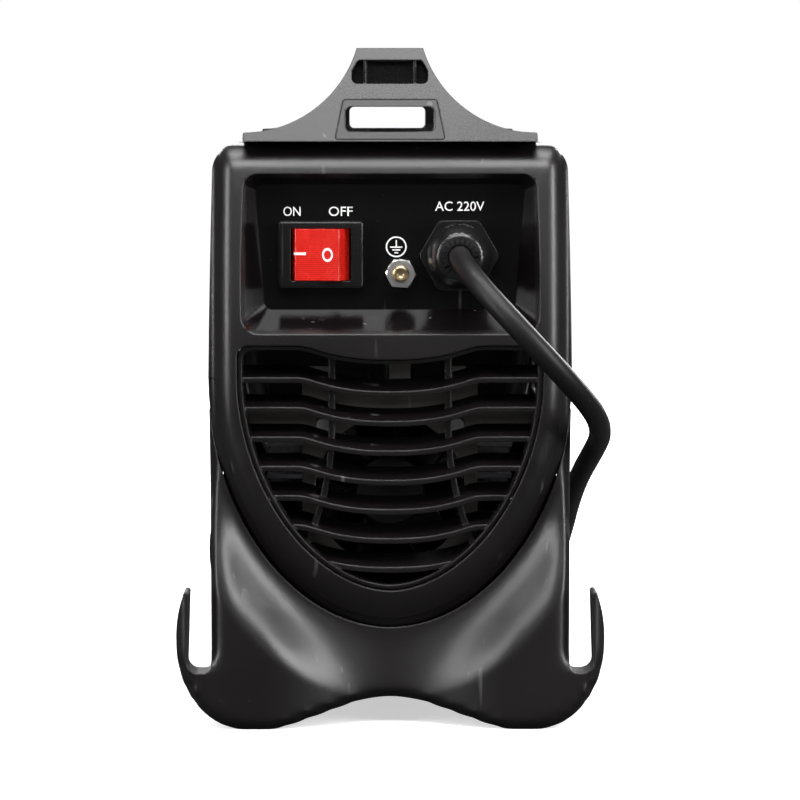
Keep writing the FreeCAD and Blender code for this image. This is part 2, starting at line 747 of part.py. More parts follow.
# ---------------------------------------------------------------- earth stud and cable gland
def earth_parts():
    stud = rod_along(3.0, STUD_X, STUD_Z, -137.2, -119)
    stud = stud.makeChamfer(0.6, [edge for edge in stud.Edges if edge.BoundBox.YMax < -137])
    washer = rod_along(5.2, STUD_X, STUD_Z, -129.0, -POCKET_FLOOR + 0.1)
    washer = washer.cut(rod_along(3.05, STUD_X, STUD_Z, -131, -127))
    nut = hexagon(10, STUD_X, STUD_Z, -134.0, -129.0)
    dome = Part.makeSphere(6.6, Vector(STUD_X, -130.6, STUD_Z))
    nut = nut.common(dome).cut(rod_along(3.05, STUD_X, STUD_Z, -136, -128))
    save("earth_stud", stud)
    save("earth_washer", washer)
    save("earth_nut", nut)


def ring_along(outer, inner, x, z, y_from, y_to):
    ring = rod_along(outer, x, z, y_from, y_to)
    return ring.cut(rod_along(inner, x, z, y_from - 1, y_to + 1))


def gland_parts():
    bore = 4.5
    body = hexagon(26, GLAND_X, GLAND_Z, -133.4, -POCKET_FLOOR + 0.1)
    body = body.common(Part.makeSphere(14.9, Vector(GLAND_X, -129.6, GLAND_Z)))
    body = body.fuse(rod_along(10.0, GLAND_X, GLAND_Z, -POCKET_FLOOR, -114))
    body = body.cut(rod_along(bore, GLAND_X, GLAND_Z, -140, -110))
    outline = [(bore, GLAND_FACE), (7.4, GLAND_FACE), (8.6, -146.9), (10.6, -143.6), (11.9, -140.5),
               (12.1, -133.5), (7.0, -133.5), (7.0, -142.8), (bore, -144.6)]
    points = [Vector(GLAND_X + radius, y, GLAND_Z) for radius, y in outline]
    face = Part.Face(Part.makePolygon(points + points[:1]))
    cap = face.revolve(Vector(GLAND_X, 0, GLAND_Z), ALONG, 360)
    for step in range(12):
        turn = math.radians(30 * step)
        x = GLAND_X + 13.0 * math.cos(turn)
        z = GLAND_Z + 13.0 * math.sin(turn)
        cap = cap.cut(rod_along(1.5, x, z, -140, -133))
    locknut = hexagon(24, GLAND_X, GLAND_Z, -125.3, -120.5).cut(rod_along(10.05, GLAND_X, GLAND_Z, -130, -110))
    save("gland_body", body)
    save("gland_cap", cap)
    save("gland_seal", ring_along(6.9, 4.2, GLAND_X, GLAND_Z, -142.6, -133.6))
    save("gland_locknut", locknut)


# ---------------------------------------------------------------- mains cord
CORD_ROUTE = [
    (25.6, -147.5, 175), (25.6, -162, 174.5), (31, -181, 167), (45, -191, 152), (61, -187, 135),
    (74, -170, 120), (78, -147, 110), (76.5, -119, 101), (73.5, -85, 89), (71.9, -45, 75),
    (71.6, 0, 59), (71.2, 45, 44.5), (70.8, 88, 33.5), (70.7, 127, 28.4), (70.6, 158, 27.0),
    (70.3, 180, 17.5), (68.5, 201, 7.2), (66.2, 222, 4.4),
]
COIL_X = 16.6
COIL_Y = 226.0
COIL_OUT = 49.6
COIL_IN = 41.2
COIL_RISE = 25.4             # the height of the wound coil


def tube_path(route):
    """Straight runs joined by tangent arcs, each as large as its two runs allow."""
    points = [Vector(*place) for place in route]
    edges = []
    start = points[0]
    radii = []
    for index in range(1, len(points) - 1):
        here = points[index]
        back = points[index - 1] - here
        ahead = points[index + 1] - here
        turn = math.pi - back.getAngle(ahead)
        reach = 0.45 * min(back.Length, ahead.Length)
        radius = reach / math.tan(turn / 2)
        back.normalize()
        ahead.normalize()
        inward = (back + ahead).normalize()
        centre = here + inward * (radius / math.cos(turn / 2))
        enter = here + back * reach
        leave = here + ahead * reach
        edges.append(Part.LineSegment(start, enter).toShape())
        edges.append(Part.Arc(enter, centre - inward * radius, leave).toShape())
        start = leave
        radii.append(radius)
    edges.append(Part.LineSegment(start, points[-1]).toShape())
    return Part.Wire(edges), radii


def tube(route, diameter):
    path, radii = tube_path(route)
    first = Vector(*route[0])
    heading = (Vector(*route[1]) - first).normalize()
    section = Part.Wire(Part.makeCircle(diameter / 2, first, heading))
    solid = path.makePipeShell([section], True, False)
    expected = math.pi * diameter ** 2 / 4 * path.Length
    tight = min(radii) if radii else 0
    print(f"tube: length {path.Length:.1f}, tightest radius {tight:.1f}, "
          f"volume {solid.Volume / expected:.4f} of section times length")
    print("radii", [round(radius) for radius in radii])
    return solid


def coil_place(turn, radius, height):
    return (COIL_X + radius * math.cos(turn), COIL_Y + radius * math.sin(turn), height)


CURL = 33.0                  # the cord's end curls inwards at this radius, on top of the coil
CURL_START = 0.0             # degrees round the coil
PLUG_HALF = 12.5
PLUG_Z = COIL_RISE + PLUG_HALF + 0.2
RELIEF_LONG = 24.0


def on_coil(across, out, height):
    """A place measured from the coil's middle, with the curl's start straight ahead of it."""
    turn = math.radians(CURL_START)
    x = out * math.cos(turn) - across * math.sin(turn)
    y = out * math.sin(turn) + across * math.cos(turn)
    return (COIL_X + x, COIL_Y + y, height)


def curl_place(angle, height):
    """A place on the curl, by the angle turned since its start."""
    return on_coil(CURL * math.sin(angle), COIL_OUT - CURL * (1 - math.cos(angle)), height)


TAIL_ROUTE = [
    coil_place(math.radians(CURL_START - 24), COIL_OUT, 24.5),
    coil_place(math.radians(CURL_START - 4), COIL_OUT, 26.8),
    curl_place(0.45, 29.4),
    curl_place(0.95, 33.0),
    curl_place(1.40, 36.8),
    on_coil(CURL + 0.2, 12.0, PLUG_Z),
]


def mains_cord_tail():
    """The short rise from the coil's top turn to the plug."""
    return tube(TAIL_ROUTE, CORD_D)


def mains_cord_coil():
    middle = Vector(COIL_X, COIL_Y, 0.1)
    half = CORD_D / 2
    ring = Part.makeCylinder(COIL_OUT + half, COIL_RISE - 0.1, middle, UP)
    ring = ring.cut(Part.makeCylinder(COIL_IN - half, COIL_RISE + 1, middle - UP, UP))
    edges = [edge for edge in ring.Edges if len(edge.Vertexes) == 1]
    return ring.makeFillet(3.0, edges)


def coil_tie():
    """A strap round the coil's section on its far left."""
    turn = math.radians(200)
    mean = (COIL_OUT + COIL_IN) / 2
    middle = Vector(COIL_X + mean * math.cos(turn), COIL_Y + mean * math.sin(turn), 0)
    across = (COIL_OUT - COIL_IN) / 2 + CORD_D / 2
    long = 8.0
    band = Part.makeBox(2 * across + 3, long, COIL_RISE + 1.5, Vector(-across - 1.5, -long / 2, 0.05))
    hole = Part.makeBox(2 * across + 0.4, long + 2, COIL_RISE + 0.2, Vector(-across - 0.2, -long / 2 - 1, 0.0))
    band = band.cut(hole)
    band.Placement = FreeCAD.Placement(middle, FreeCAD.Rotation(UP, 200))
    return band


def plug_parts():
    """An earthed plug with flat pins: a moulded body with a tapered strain relief."""
    turn = FreeCAD.Rotation(UP, CURL_START + 180)
    place = FreeCAD.Placement(Vector(*TAIL_ROUTE[-1]), turn)
    start = RELIEF_LONG - 3
    body = Part.makeBox(33, 37, 2 * PLUG_HALF, Vector(start, -18.5, -PLUG_HALF))
    rounded = [edge for edge in body.Edges if edge.BoundBox.XMax < start + 0.1 or edge.BoundBox.XLength > 20]
    body = body.makeFillet(5.0, rounded)
    body = body.fuse(Part.makeCone(5.2, 8.2, RELIEF_LONG, CENTRE, ACROSS))
    body.Placement = place
    pins = []
    for out, up, tilt in ((-7.9, -2.4, 30), (7.9, -2.4, -30), (0, 4.2, 90)):
        pin = Part.makeBox(18, 6.3, 1.6, Vector(0, -3.15, -0.8))
        pin.rotate(CENTRE, ACROSS, tilt)
        pin.translate(Vector(start + 33.05, out, up))
        pin.Placement = place.multiply(pin.Placement)
        pins.append(pin)
    save("plug_body", body)
    save("plug_pins", *pins)


def mains_lead_inner():
    """The same lead inside the gland, up to where its sheath is cut back."""
    return rod_along(CORD_D / 2, GLAND_X, GLAND_Z, GLAND_FACE + 0.05, -108)


def switch_leads():
    leads = []
    for x in (SWITCH_X - 7, SWITCH_X + 7):
        route = [(x, -96.8, SWITCH_Z - 6), (x, -90, SWITCH_Z - 6.5), (x + 0.5, -84, SWITCH_Z - 14),
                 (x + 1, -83, SWITCH_Z - 26), (x + 2, -85, SWITCH_Z - 38)]
        leads.append(tube(route, 2.6))
    return leads


# ---------------------------------------------------------------- fan
def fan_frame():
    half = FAN_SIZE / 2
    back = FAN_FRONT - FAN_DEEP
    frame = rounded_plate(rectangle((-half, half), (FAN_Z - half, FAN_Z + half), 3), back, FAN_FRONT)
    frame = frame.cut(rod_along(FAN_BORE, 0, FAN_Z, back - 1, FAN_FRONT + 1))
    base = rod_along(FAN_HUB + 0.5, 0, FAN_Z, FAN_FRONT - 3, FAN_FRONT)
    for step in range(4):
        strut = block((0, half - 0.5), (FAN_FRONT - 3, FAN_FRONT), (FAN_Z - 1.5, FAN_Z + 1.5))
        strut.rotate(Vector(0, 0, FAN_Z), ALONG, 45 + 90 * step)
        base = base.fuse(strut)
    frame = frame.fuse(base).cut(rod_along(1.56, 0, FAN_Z, FAN_FRONT - 5, FAN_FRONT + 1))
    for x, z in fan_screw_places():
        frame = frame.cut(rod_along(2.2, x, z, back - 1, FAN_FRONT + 1))
    return frame


def fan_screw_places():
    return [(x, FAN_Z + z) for x in (-FAN_SCREW, FAN_SCREW) for z in (-FAN_SCREW, FAN_SCREW)]


def fan_rotor():
    back = FAN_FRONT - FAN_DEEP + 1
    hub = rod_along(FAN_HUB, 0, FAN_Z, back, FAN_FRONT - 4)
    hub = hub.makeFillet(1.5, [edge for edge in hub.Edges if edge.BoundBox.YMax < back + 0.1])
    hub = hub.fuse(rod_along(1.5, 0, FAN_Z, back + 4, FAN_FRONT - 0.5))
    sweep = ring_along(FAN_BORE - 1, FAN_HUB - 1, 0, FAN_Z, back, FAN_FRONT - 4)
    for step in range(7):
        blade = Part.makeBox(19, 22, 1.6, Vector(11, -11, -0.8))
        blade.rotate(CENTRE, ACROSS, 42)
        blade.translate(Vector(0, (back + FAN_FRONT - 4) / 2, FAN_Z))
        blade.rotate(Vector(0, 0, FAN_Z), ALONG, 360 / 7 * step)
        hub = hub.fuse(blade.common(sweep))
    return hub


def fan_bracket():
    """The plate that holds the fan: a round opening, two side arms and three tabs on top."""
    back = FAN_FRONT - FAN_DEEP - 1.6
    front = FAN_FRONT - FAN_DEEP - 0.1
    plate = block((-33, 33), (back, front), (57, 127))
    plate = plate.fuse(block((-61.8, 61.8), (back, front), (106, 118)))
    plate = plate.cut(rod_along(FAN_BORE, 0, FAN_Z, back - 1, front + 1))
    for x, low in ((3.7, 126), (-26.3, 124), (24.6, 124)):
        plate = plate.fuse(block((x - 4, x + 4), (back, front), (low - 2, low + 9)))
    for x, z in fan_screw_places():
        plate = plate.cut(rod_along(1.7, x, z, back - 1, front + 1))
    return plate


def fan_screws():
    back = FAN_FRONT - FAN_DEEP - 1.6
    return [pan_screw(3.2, 1.6, 20, Vector(x, back, z), ALONG * -1) for x, z in fan_screw_places()]


# ---------------------------------------------------------------- power electronics
BOARD_Z = 31.2


def power_board():
    board = block((-56, 56), (-88, 92), (BOARD_Z, BOARD_Z + 1.6))
    for x, y in standoff_places():
        board = board.cut(rod_up(1.7, x, y, 30, 34))
    return board


def standoff_places():
    return [(x, y) for x in (-51, 51) for y in (-82, 2, 86)]


def board_standoffs():
    return [rod_up(3.0, x, y, TRAY_FLOOR + SHEET, BOARD_Z) for x, y in standoff_places()]


def heatsink():
    """The right heat sink: an upright base with level fins."""
    low = BOARD_Z + 2
    sink = block((13, 17), (-58, 40), (low, low + 74))
    for step in range(12):
        z = low + 1 + 6.3 * step
        sink = sink.fuse(block((16, 48), (-58, 40), (z, z + 1.6)))
    return sink


def power_transistors():
    packages = []
    for side in (-1, 1):
        for step in range(4):
            y = -44 + 24 * step
            x = sorted((side * 8, side * 12.9))
            packages.append(block(x, (y - 8, y + 8), (48, 69)))
            for leg in (-5.4, 0, 5.4):
                pin = sorted((side * 9.8, side * 10.6))
                packages.append(block(pin, (y + leg - 0.6, y + leg + 0.6), (BOARD_Z + 1.6, 48)))
    return packages


def capacitors():
    cans = []
    for x in (-34, 0, 34):
        can = rod_up(15, x, -74.5, BOARD_Z + 1.7, BOARD_Z + 48)
        top = [edge for edge in can.Edges if edge.BoundBox.ZMin > BOARD_Z + 47.9]
        cans.append(can.makeFillet(1.5, top))
    return cans


def transformer_parts():
    low = BOARD_Z + 1.7
    core = block((4, 52), (54, 82), (low, low + 46))
    for x in ((11, 21), (35, 45)):
        core = core.cut(block(x, (50, 90), (low + 8, low + 38)))
    middle = block((21, 35), (54, 82), (low + 8, low + 38))
    winding = block((11.3, 44.7), (47, 89), (low + 8.4, low + 37.6))
    winding = winding.makeFillet(4, [edge for edge in winding.Edges if edge.BoundBox.ZLength > 20])
    winding = winding.cut(block((20.8, 35.2), (40, 96), (0, 120)).common(block((0, 60), (53.8, 82.2), (0, 120))))
    save("transformer_core", core.fuse(middle))
    save("transformer_winding", winding)


def output_inductor():
    choke = Part.makeTorus(16, 8.5, Vector(-32, 68, BOARD_Z + 10.4), UP)
    return choke


def control_board():
    board = block((-0.8, 0.8), (-50, 36), (BOARD_Z + 1.7, 142))
    for y, z in ((-30, 110), (-6, 118), (16, 108)):
        board = board.fuse(block((0.7, 4), (y - 7, y + 7), (z - 5, z + 5)))
    return board


# ---------------------------------------------------------------- output side
def output_socket(side):
    x = side * SOCKET_X
    flange = rod_along(16.5, x, SOCKET_Z, -140.2, -137.1)
    collar = rod_along(12.5, x, SOCKET_Z, -149.2, -137.1)
    collar = collar.makeFillet(1.2, [edge for edge in collar.Edges if edge.BoundBox.YMax < -149])
    stem = rod_along(11.0, x, SOCKET_Z, -137.2, -122)
    socket = flange.fuse([collar, stem])
    socket = socket.cut(rod_along(9.0, x, SOCKET_Z, -151, -143))
    socket = socket.cut(rod_along(7.55, x, SOCKET_Z, -144, -120))
    return turned(socket)


def output_contact(side):
    """The brass contact: a bore with a key slot in front, a threaded stud behind."""
    x = side * SOCKET_X
    contact = rod_along(7.5, x, SOCKET_Z, -146.5, -120)
    contact = contact.fuse(rod_along(4.0, x, SOCKET_Z, -120.5, -100))
    contact = contact.cut(rod_along(SOCKET_BORE, x, SOCKET_Z, -148, -124))
    key = block((x - 1.7, x + 1.7), (-148, -137), (SOCKET_Z, SOCKET_Z + 8))
    return turned(contact.cut(key))


def contact_nuts():
    nuts = []
    for side in (-1, 1):
        nut = hexagon(13, side * SOCKET_X, SOCKET_Z, -112, -107)
        nuts.append(turned(nut.cut(rod_along(4.05, side * SOCKET_X, SOCKET_Z, -115, -100))))
    return nuts


def output_busbars():
    bars = []
    for side in (-1, 1):
        x = side * SOCKET_X
        upright = block((x - 8, x + 8), (-115.2, -112.2), (58, SOCKET_Z + 9))
        foot = block((x - 8, x + 8), (-115.2, -95), (58, 61))
        bar = upright.fuse(foot).cut(rod_along(4.2, x, SOCKET_Z, -120, -110))
        bars.append(turned(bar))
    return bars


def knob_parts():
    x = -KNOB_X
    knob = rod_along(13.5, x, KNOB_Z, -144.5, -128.6)
    knob = knob.makeFillet(1.6, [edge for edge in knob.Edges if edge.BoundBox.YMax < -144.4])
    for step in range(18):
        turn = math.radians(20 * step + 10)
        groove = rod_along(1.1, x + 14.1 * math.cos(turn), KNOB_Z + 14.1 * math.sin(turn), -143, -128)
        knob = knob.cut(groove)
    knob = knob.cut(block((x - 0.8, x + 0.8), (-146, -143.6), (KNOB_Z + 3, KNOB_Z + 13)))
    knob = knob.cut(rod_along(3.0, x, KNOB_Z, -139, -120))
    shaft = rod_along(3.0, x, KNOB_Z, -139, -117.5)
    pot = rod_along(8.2, x, KNOB_Z, -122.5, -113)
    pot = pot.fuse(rod_along(4.5, x, KNOB_Z, -128.2, -122.5))
    pot = pot.cut(rod_along(3.06, x, KNOB_Z, -130, -117))
    save("current_knob", turned(knob))
    save("knob_shaft", turned(shaft))
    save("potentiometer", turned(pot))


def display_parts():
    window = rounded_plate(rectangle((-31, -5), (180, 194), 1), -129.2, -125.5)
    module = block((-32, -4), (-125.3, -118), (178, 196))
    lamps = []
    for x in (-26, -10):
        lamp = rod_along(2.5, x, 167, -129.4, -121)
        lamps.append(turned(lamp.makeFillet(1.8, [edge for edge in lamp.Edges if edge.BoundBox.YMax < -129.3])))
    save("display_window", turned(window))
    save("display_module", turned(module))
    save("indicator_lamps", *lamps)


# ---------------------------------------------------------------- write every node
panel = end_panel()
skirt = end_skirt()
save("rear_panel", panel)
save("front_panel", turned(panel))
save("rear_skirt", skirt)
save("front_skirt", turned(skirt))
save("rear_grille", rear_grille())
save("rear_terminal_plate", rear_terminal_plate())
save("front_control_plate", front_control_plate())
save("front_socket_plate", front_socket_plate())
save("top_cover", top_cover())
save("base_tray", base_tray())
save("cover_screws", *cover_screws())
save("skirt_screws", *skirt_screws())
save("handle", handle())
save("handle_screws", *handle_screws())
save("strap_plate_rear", strap_plate())
save("strap_plate_front", turned(strap_plate()))
save("switch_housing", switch_housing())
save("switch_rocker", switch_rocker())
save("switch_terminals", *switch_terminals())
save("switch_leads", *switch_leads())
earth_parts()
gland_parts()
save("mains_cord", tube(CORD_ROUTE, CORD_D))
save("mains_cord_coil", mains_cord_coil())
save("mains_cord_tail", mains_cord_tail())
save("coil_tie", coil_tie())
plug_parts()
save("mains_lead_inner", mains_lead_inner())
save("fan_frame", fan_frame())
save("fan_rotor", fan_rotor())
save("fan_bracket", fan_bracket())
save("fan_screws", *fan_screws())
save("heatsink_right", heatsink())
save("heatsink_left", mirrored(heatsink()))
save("power_transistors", *power_transistors())
save("power_board", power_board())
save("board_standoffs", *board_standoffs())
save("capacitors", *capacitors())
transformer_parts()
save("output_inductor", output_inductor())
save("control_board", control_board())
for name, side in (("minus", -1), ("plus", 1)):
    save("output_socket_" + name, output_socket(side))
    save("output_contact_" + name, output_contact(side))
save("contact_nuts", *contact_nuts())
save("output_busbars", *output_busbars())
knob_parts()
display_parts()
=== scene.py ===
# %% [markdown]
# # A stick welding inverter, dressed in Blender
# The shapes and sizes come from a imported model, which is loaded as a fixed frame. This lesson gives
# that frame its looks: satin moulded plastic, a red rocker, a nickel nut, a rubber lead and its coil.
# Everything is in metres. Minus Y is the mains side, which the camera faces, and Z is up.

# %% load the frame
import bpy
import json
import math
from mathutils import Matrix, Vector


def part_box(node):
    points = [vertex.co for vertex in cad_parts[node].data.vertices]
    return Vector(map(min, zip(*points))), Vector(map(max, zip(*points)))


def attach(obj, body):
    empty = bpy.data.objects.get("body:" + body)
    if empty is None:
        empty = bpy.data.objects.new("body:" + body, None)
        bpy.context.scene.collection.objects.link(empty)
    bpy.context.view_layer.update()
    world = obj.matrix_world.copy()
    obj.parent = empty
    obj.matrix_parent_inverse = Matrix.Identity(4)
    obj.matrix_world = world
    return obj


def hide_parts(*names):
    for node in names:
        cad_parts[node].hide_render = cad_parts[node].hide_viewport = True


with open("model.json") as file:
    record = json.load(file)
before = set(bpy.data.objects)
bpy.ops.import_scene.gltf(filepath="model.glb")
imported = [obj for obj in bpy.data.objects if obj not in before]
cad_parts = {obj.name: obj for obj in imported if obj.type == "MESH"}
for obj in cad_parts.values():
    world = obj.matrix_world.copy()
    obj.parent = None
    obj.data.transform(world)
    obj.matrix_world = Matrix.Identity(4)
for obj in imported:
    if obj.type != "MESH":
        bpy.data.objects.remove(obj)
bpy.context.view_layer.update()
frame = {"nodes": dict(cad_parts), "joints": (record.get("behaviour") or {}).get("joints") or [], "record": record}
nodes = frame["nodes"]
MM = 0.001

# %% [markdown]
# Operators act on whatever is selected, and loading leaves the whole frame selected. So one small
# helper clears the selection and picks a single object, and every later step starts with it.


# %% choosing one object at a time
def choose(piece):
    if bpy.context.mode != "OBJECT":
        bpy.ops.object.mode_set(mode="OBJECT")
    bpy.ops.object.select_all(action="DESELECT")
    piece.select_set(True)
    bpy.context.view_layer.objects.active = piece


def edit(piece):
    choose(piece)
    bpy.ops.object.mode_set(mode="EDIT")
    bpy.ops.mesh.select_mode(type="FACE")
    bpy.ops.mesh.select_all(action="SELECT")


def done(piece, name):
    """Leaves edit mode, moves the place and turn into the mesh, and names the piece."""
    choose(piece)
    bpy.ops.object.transform_apply(location=True, rotation=True, scale=True)
    piece.name = name
    piece.data.name = name
    return piece


def joined(pieces, name):
    """Joins equal pieces into one and names it."""
    choose(pieces[0])
    for piece in pieces[1:]:
        piece.select_set(True)
    bpy.ops.object.join()
    return done(pieces[0], name)


bpy.ops.object.select_all(action="DESELECT")
print("selection cleared")

# %% [markdown]
# ## Camera
# A product shot is taken from well back with a long lens, so that near and far edges keep almost the
# same size. The camera stands a little above the case and tips down slightly. A tipped camera
# is used instead of a shifted lens, because a shift would follow the camera to every other view.

# %% the camera
CAMERA_PLACE = Vector((-6.4, -1512.0, 230.0)) * MM
CAMERA_HEADING = Vector((0.0073, 1.0, -0.0788))
LENS = 167.4

camera_data = bpy.data.cameras.new("camera")
camera_data.lens = LENS
camera_data.sensor_width = 36.0
camera_data.clip_start = 0.05
camera = bpy.data.objects.new("camera", camera_data)
bpy.context.scene.collection.objects.link(camera)
camera.location = CAMERA_PLACE
camera.rotation_euler = CAMERA_HEADING.to_track_quat("-Z", "Y").to_euler()
bpy.context.scene.camera = camera
print("camera at", tuple(round(value, 3) for value in camera.location), "lens", LENS)

# %% [markdown]
# ## The mains lead
# A rubber mains lead is stiff: it leaves its gland straight, bends down and to the right under its own
# weight, goes round the corner of the case and lies in the cord hook at the far end. The rest is wound
# into a flat coil on the floor. The route's points are the control points of one smooth NURBS spline,
# so the line never kinks as straight runs with filleted corners would.

# %% the route from the gland to the coil
CORD = 8.2
ROUTE = [
    (25.6, -147.5, 175), (25.6, -162, 174.5), (31, -181, 167), (45, -191, 152), (61, -187, 135),
    (74, -170, 120), (78, -147, 110), (76.5, -119, 101), (73.5, -85, 89), (71.9, -45, 75),
    (71.6, 0, 59), (71.2, 45, 44.5), (70.8, 88, 33.5), (70.7, 127, 28.4), (70.6, 158, 27.0),
    (70.3, 180, 17.5), (68.5, 201, 7.2),
]
COIL_X = 16.6
COIL_Y = 226.0
COIL_OUT = 49.6
COIL_IN = 41.2
LAYERS = (4.3, 12.7, 21.1)
LAST_RISE = 5.7
print("route points", len(ROUTE))

# %% [markdown]
# A wound coil is a slow spiral: the lead lies in an outer or an inner lane and in one of three layers.
# Each change of lane or layer takes about a quarter of a turn, and they are staggered round the coil so
# that one turn never passes through another.


# %% the coil's turns
def ease(value):
    value = max(0.0, min(1.0, value))
    return value * value * (3 - 2 * value)


def change(angle, start, end):
    """0 before the start, 1 after the end, and smooth between them, in degrees."""
    return ease((angle - start) / (end - start))


def coil_point(angle):
    lane = COIL_IN - COIL_OUT
    radius = COIL_OUT + lane * change(angle, 265, 355) - lane * change(angle, 840, 920)
    height = LAYERS[0] + (LAYERS[1] - LAYERS[0]) * change(angle, 550, 640)
    height += (LAYERS[2] - LAYERS[1]) * change(angle, 1115, 1200)
    height += LAST_RISE * change(angle, 1395, 1440)
    turn = math.radians(angle)
    return (COIL_X + radius * math.cos(turn), COIL_Y + radius * math.sin(turn), height)


COIL_START = -4.6
COIL_END = 1436.0
COIL_STEPS = 54
coil_points = []
for step in range(COIL_STEPS + 1):
    coil_points.append(coil_point(COIL_START + (COIL_END - COIL_START) * step / COIL_STEPS))
print("coil points", len(coil_points), "turns", round((COIL_END - COIL_START) / 360, 2))

# %% [markdown]
# On top of the coil the lead curls inwards, a little tighter than the turns below it, and rises into
# the plug's strain relief. The plug's axis is where the curl ends.

# %% the end of the lead
CURL = 33.0
PLUG_Z = 38.1


def on_coil(across, out, height):
    return (COIL_X + out, COIL_Y + across, height)


def curl_place(angle, height):
    return on_coil(CURL * math.sin(angle), COIL_OUT - CURL * (1 - math.cos(angle)), height)


TAIL = [
    curl_place(0.45, 29.4),
    curl_place(0.95, 33.0),
    curl_place(1.40, 36.8),
    on_coil(CURL + 0.2, 12.0, PLUG_Z),
]


def spline_piece(name, places, thickness):
    """A round-section curve through millimetre control points, smooth to the second order."""
    curve = bpy.data.curves.new(name, "CURVE")
    curve.dimensions = "3D"
    spline = curve.splines.new("NURBS")
    spline.points.add(len(places) - 1)
    for point, place in zip(spline.points, places):
        point.co = (place[0] * MM, place[1] * MM, place[2] * MM, 1.0)
    spline.order_u = 3
    spline.use_endpoint_u = True
    curve.resolution_u = 6
    curve.bevel_depth = thickness / 2 * MM
    curve.bevel_resolution = 6
    curve.use_fill_caps = True
    piece = bpy.data.objects.new(name, curve)
    bpy.context.scene.collection.objects.link(piece)
    return piece


lead = spline_piece("mains_lead", ROUTE + coil_points + TAIL, CORD)
print("lead points", len(lead.data.splines[0].points))

# %% [markdown]
# ## Shader helpers
# A material is a small graph of nodes. These helpers keep each graph short: one makes a node and sets
# its values, and one makes a mapped noise, which most finishes are built from.


# %% shader helpers
def add(tree, kind, values=None, **settings):
    node = tree.nodes.new(kind)
    for key, value in settings.items():
        setattr(node, key, value)
    for key, value in (values or {}).items():
        node.inputs[key].default_value = value
    return node


def join(tree, source, target):
    tree.links.new(source, target)


def math_node(tree, operation, first, second, clamp=False):
    node = add(tree, "ShaderNodeMath", operation=operation, use_clamp=clamp)
    for socket, value in zip(node.inputs, (first, second)):
        if isinstance(value, (int, float)):
            socket.default_value = value
        else:
            join(tree, value, socket)
    return node.outputs[0]


def remap(tree, value, low, high, to_low=0.0, to_high=1.0):
    node = add(tree, "ShaderNodeMapRange", {1: low, 2: high, 3: to_low, 4: to_high}, clamp=True)
    join(tree, value, node.inputs[0])
    return node.outputs[0]


def mapped_noise(tree, place, scale, detail=2.0, stretch=(1, 1, 1), turn=0.0):
    mapping = add(tree, "ShaderNodeMapping", {"Scale": stretch, "Rotation": (0, turn, 0)})
    join(tree, place, mapping.inputs["Vector"])
    noise = add(tree, "ShaderNodeTexNoise", {"Scale": scale, "Detail": detail})
    join(tree, mapping.outputs[0], noise.inputs["Vector"])
    return noise.outputs["Fac"]


def new_group(name, inputs, outputs):
    group = bpy.data.node_groups.new(name, "ShaderNodeTree")
    for label, kind, value in inputs:
        socket = group.interface.new_socket(label, in_out="INPUT", socket_type=kind)
        if value is not None:
            socket.default_value = value
    for label, kind in outputs:
        group.interface.new_socket(label, in_out="OUTPUT", socket_type=kind)
    return group, group.nodes.new("NodeGroupInput"), group.nodes.new("NodeGroupOutput")


print("shader helpers ready")

# %% [markdown]
# ### Handling marks
# Moulded plastic is never evenly clean. It has hairline scratches in a few directions, pale specks of
# dust and slow changes of sheen. One node group makes these masks, and each material decides how much
# of them it shows.

# %% the handling-marks group
FLOAT = "NodeSocketFloat"
VECTOR = "NodeSocketVector"
marks, given, result = new_group(
    "handling_marks",
    [("Place", VECTOR, None), ("Grain Size", FLOAT, 2600.0)],
    [("Grain", FLOAT), ("Scratches", FLOAT), ("Specks", FLOAT), ("Sheen", FLOAT)],
)
place = given.outputs["Place"]
grain_noise = add(marks, "ShaderNodeTexNoise", {"Detail": 2.0, "Roughness": 0.6})
join(marks, place, grain_noise.inputs["Vector"])
join(marks, given.outputs["Grain Size"], grain_noise.inputs["Scale"])
join(marks, grain_noise.outputs["Fac"], result.inputs["Grain"])
scratches = 0.0
for turn, scale in ((0.35, 210.0), (1.25, 260.0), (-0.6, 180.0)):
    lines = mapped_noise(marks, place, scale, 1.0, (1.0, 1.0, 0.035), turn)
    where = mapped_noise(marks, place, 34.0, 1.0, (1, 1, 1), turn)
    thin = remap(marks, lines, 0.715, 0.74)
    there = remap(marks, where, 0.5, 0.62)
    scratches = math_node(marks, "ADD", scratches, math_node(marks, "MULTIPLY", thin, there), True)
join(marks, scratches, result.inputs["Scratches"])
specks = add(marks, "ShaderNodeTexVoronoi", {"Scale": 240.0, "Randomness": 1.0})
join(marks, place, specks.inputs["Vector"])
dots = remap(marks, specks.outputs["Distance"], 0.055, 0.035)
patchy = remap(marks, mapped_noise(marks, place, 55.0), 0.52, 0.66)
join(marks, math_node(marks, "MULTIPLY", dots, patchy), result.inputs["Specks"])
join(marks, mapped_noise(marks, place, 16.0, 3.0), result.inputs["Sheen"])
print("group", marks.name)

# %% [markdown]
# ### Softened edges
# Moulded and pressed edges are never sharp: each has a radius that catches a thin line of light. The Bevel node
# rounds the shading there, and comparing it with the true normal gives a mask of the edges. The finishes paint
# that mask paler, partly as rubbed wear and partly as a painted highlight.

# %% the soft-edges group
soft, given, result = new_group(
    "soft_edges", [("Radius", FLOAT, 0.0006)], [("Normal", VECTOR), ("Edge", FLOAT)]
)
rounded = add(soft, "ShaderNodeBevel", samples=4)
join(soft, given.outputs["Radius"], rounded.inputs["Radius"])
facing = add(soft, "ShaderNodeNewGeometry")
along = add(soft, "ShaderNodeVectorMath", operation="DOT_PRODUCT")
join(soft, rounded.outputs["Normal"], along.inputs[0])
join(soft, facing.outputs["Normal"], along.inputs[1])
join(soft, rounded.outputs["Normal"], result.inputs["Normal"])
join(soft, remap(soft, along.outputs["Value"], 0.98, 0.80), result.inputs["Edge"])
print("group", soft.name)

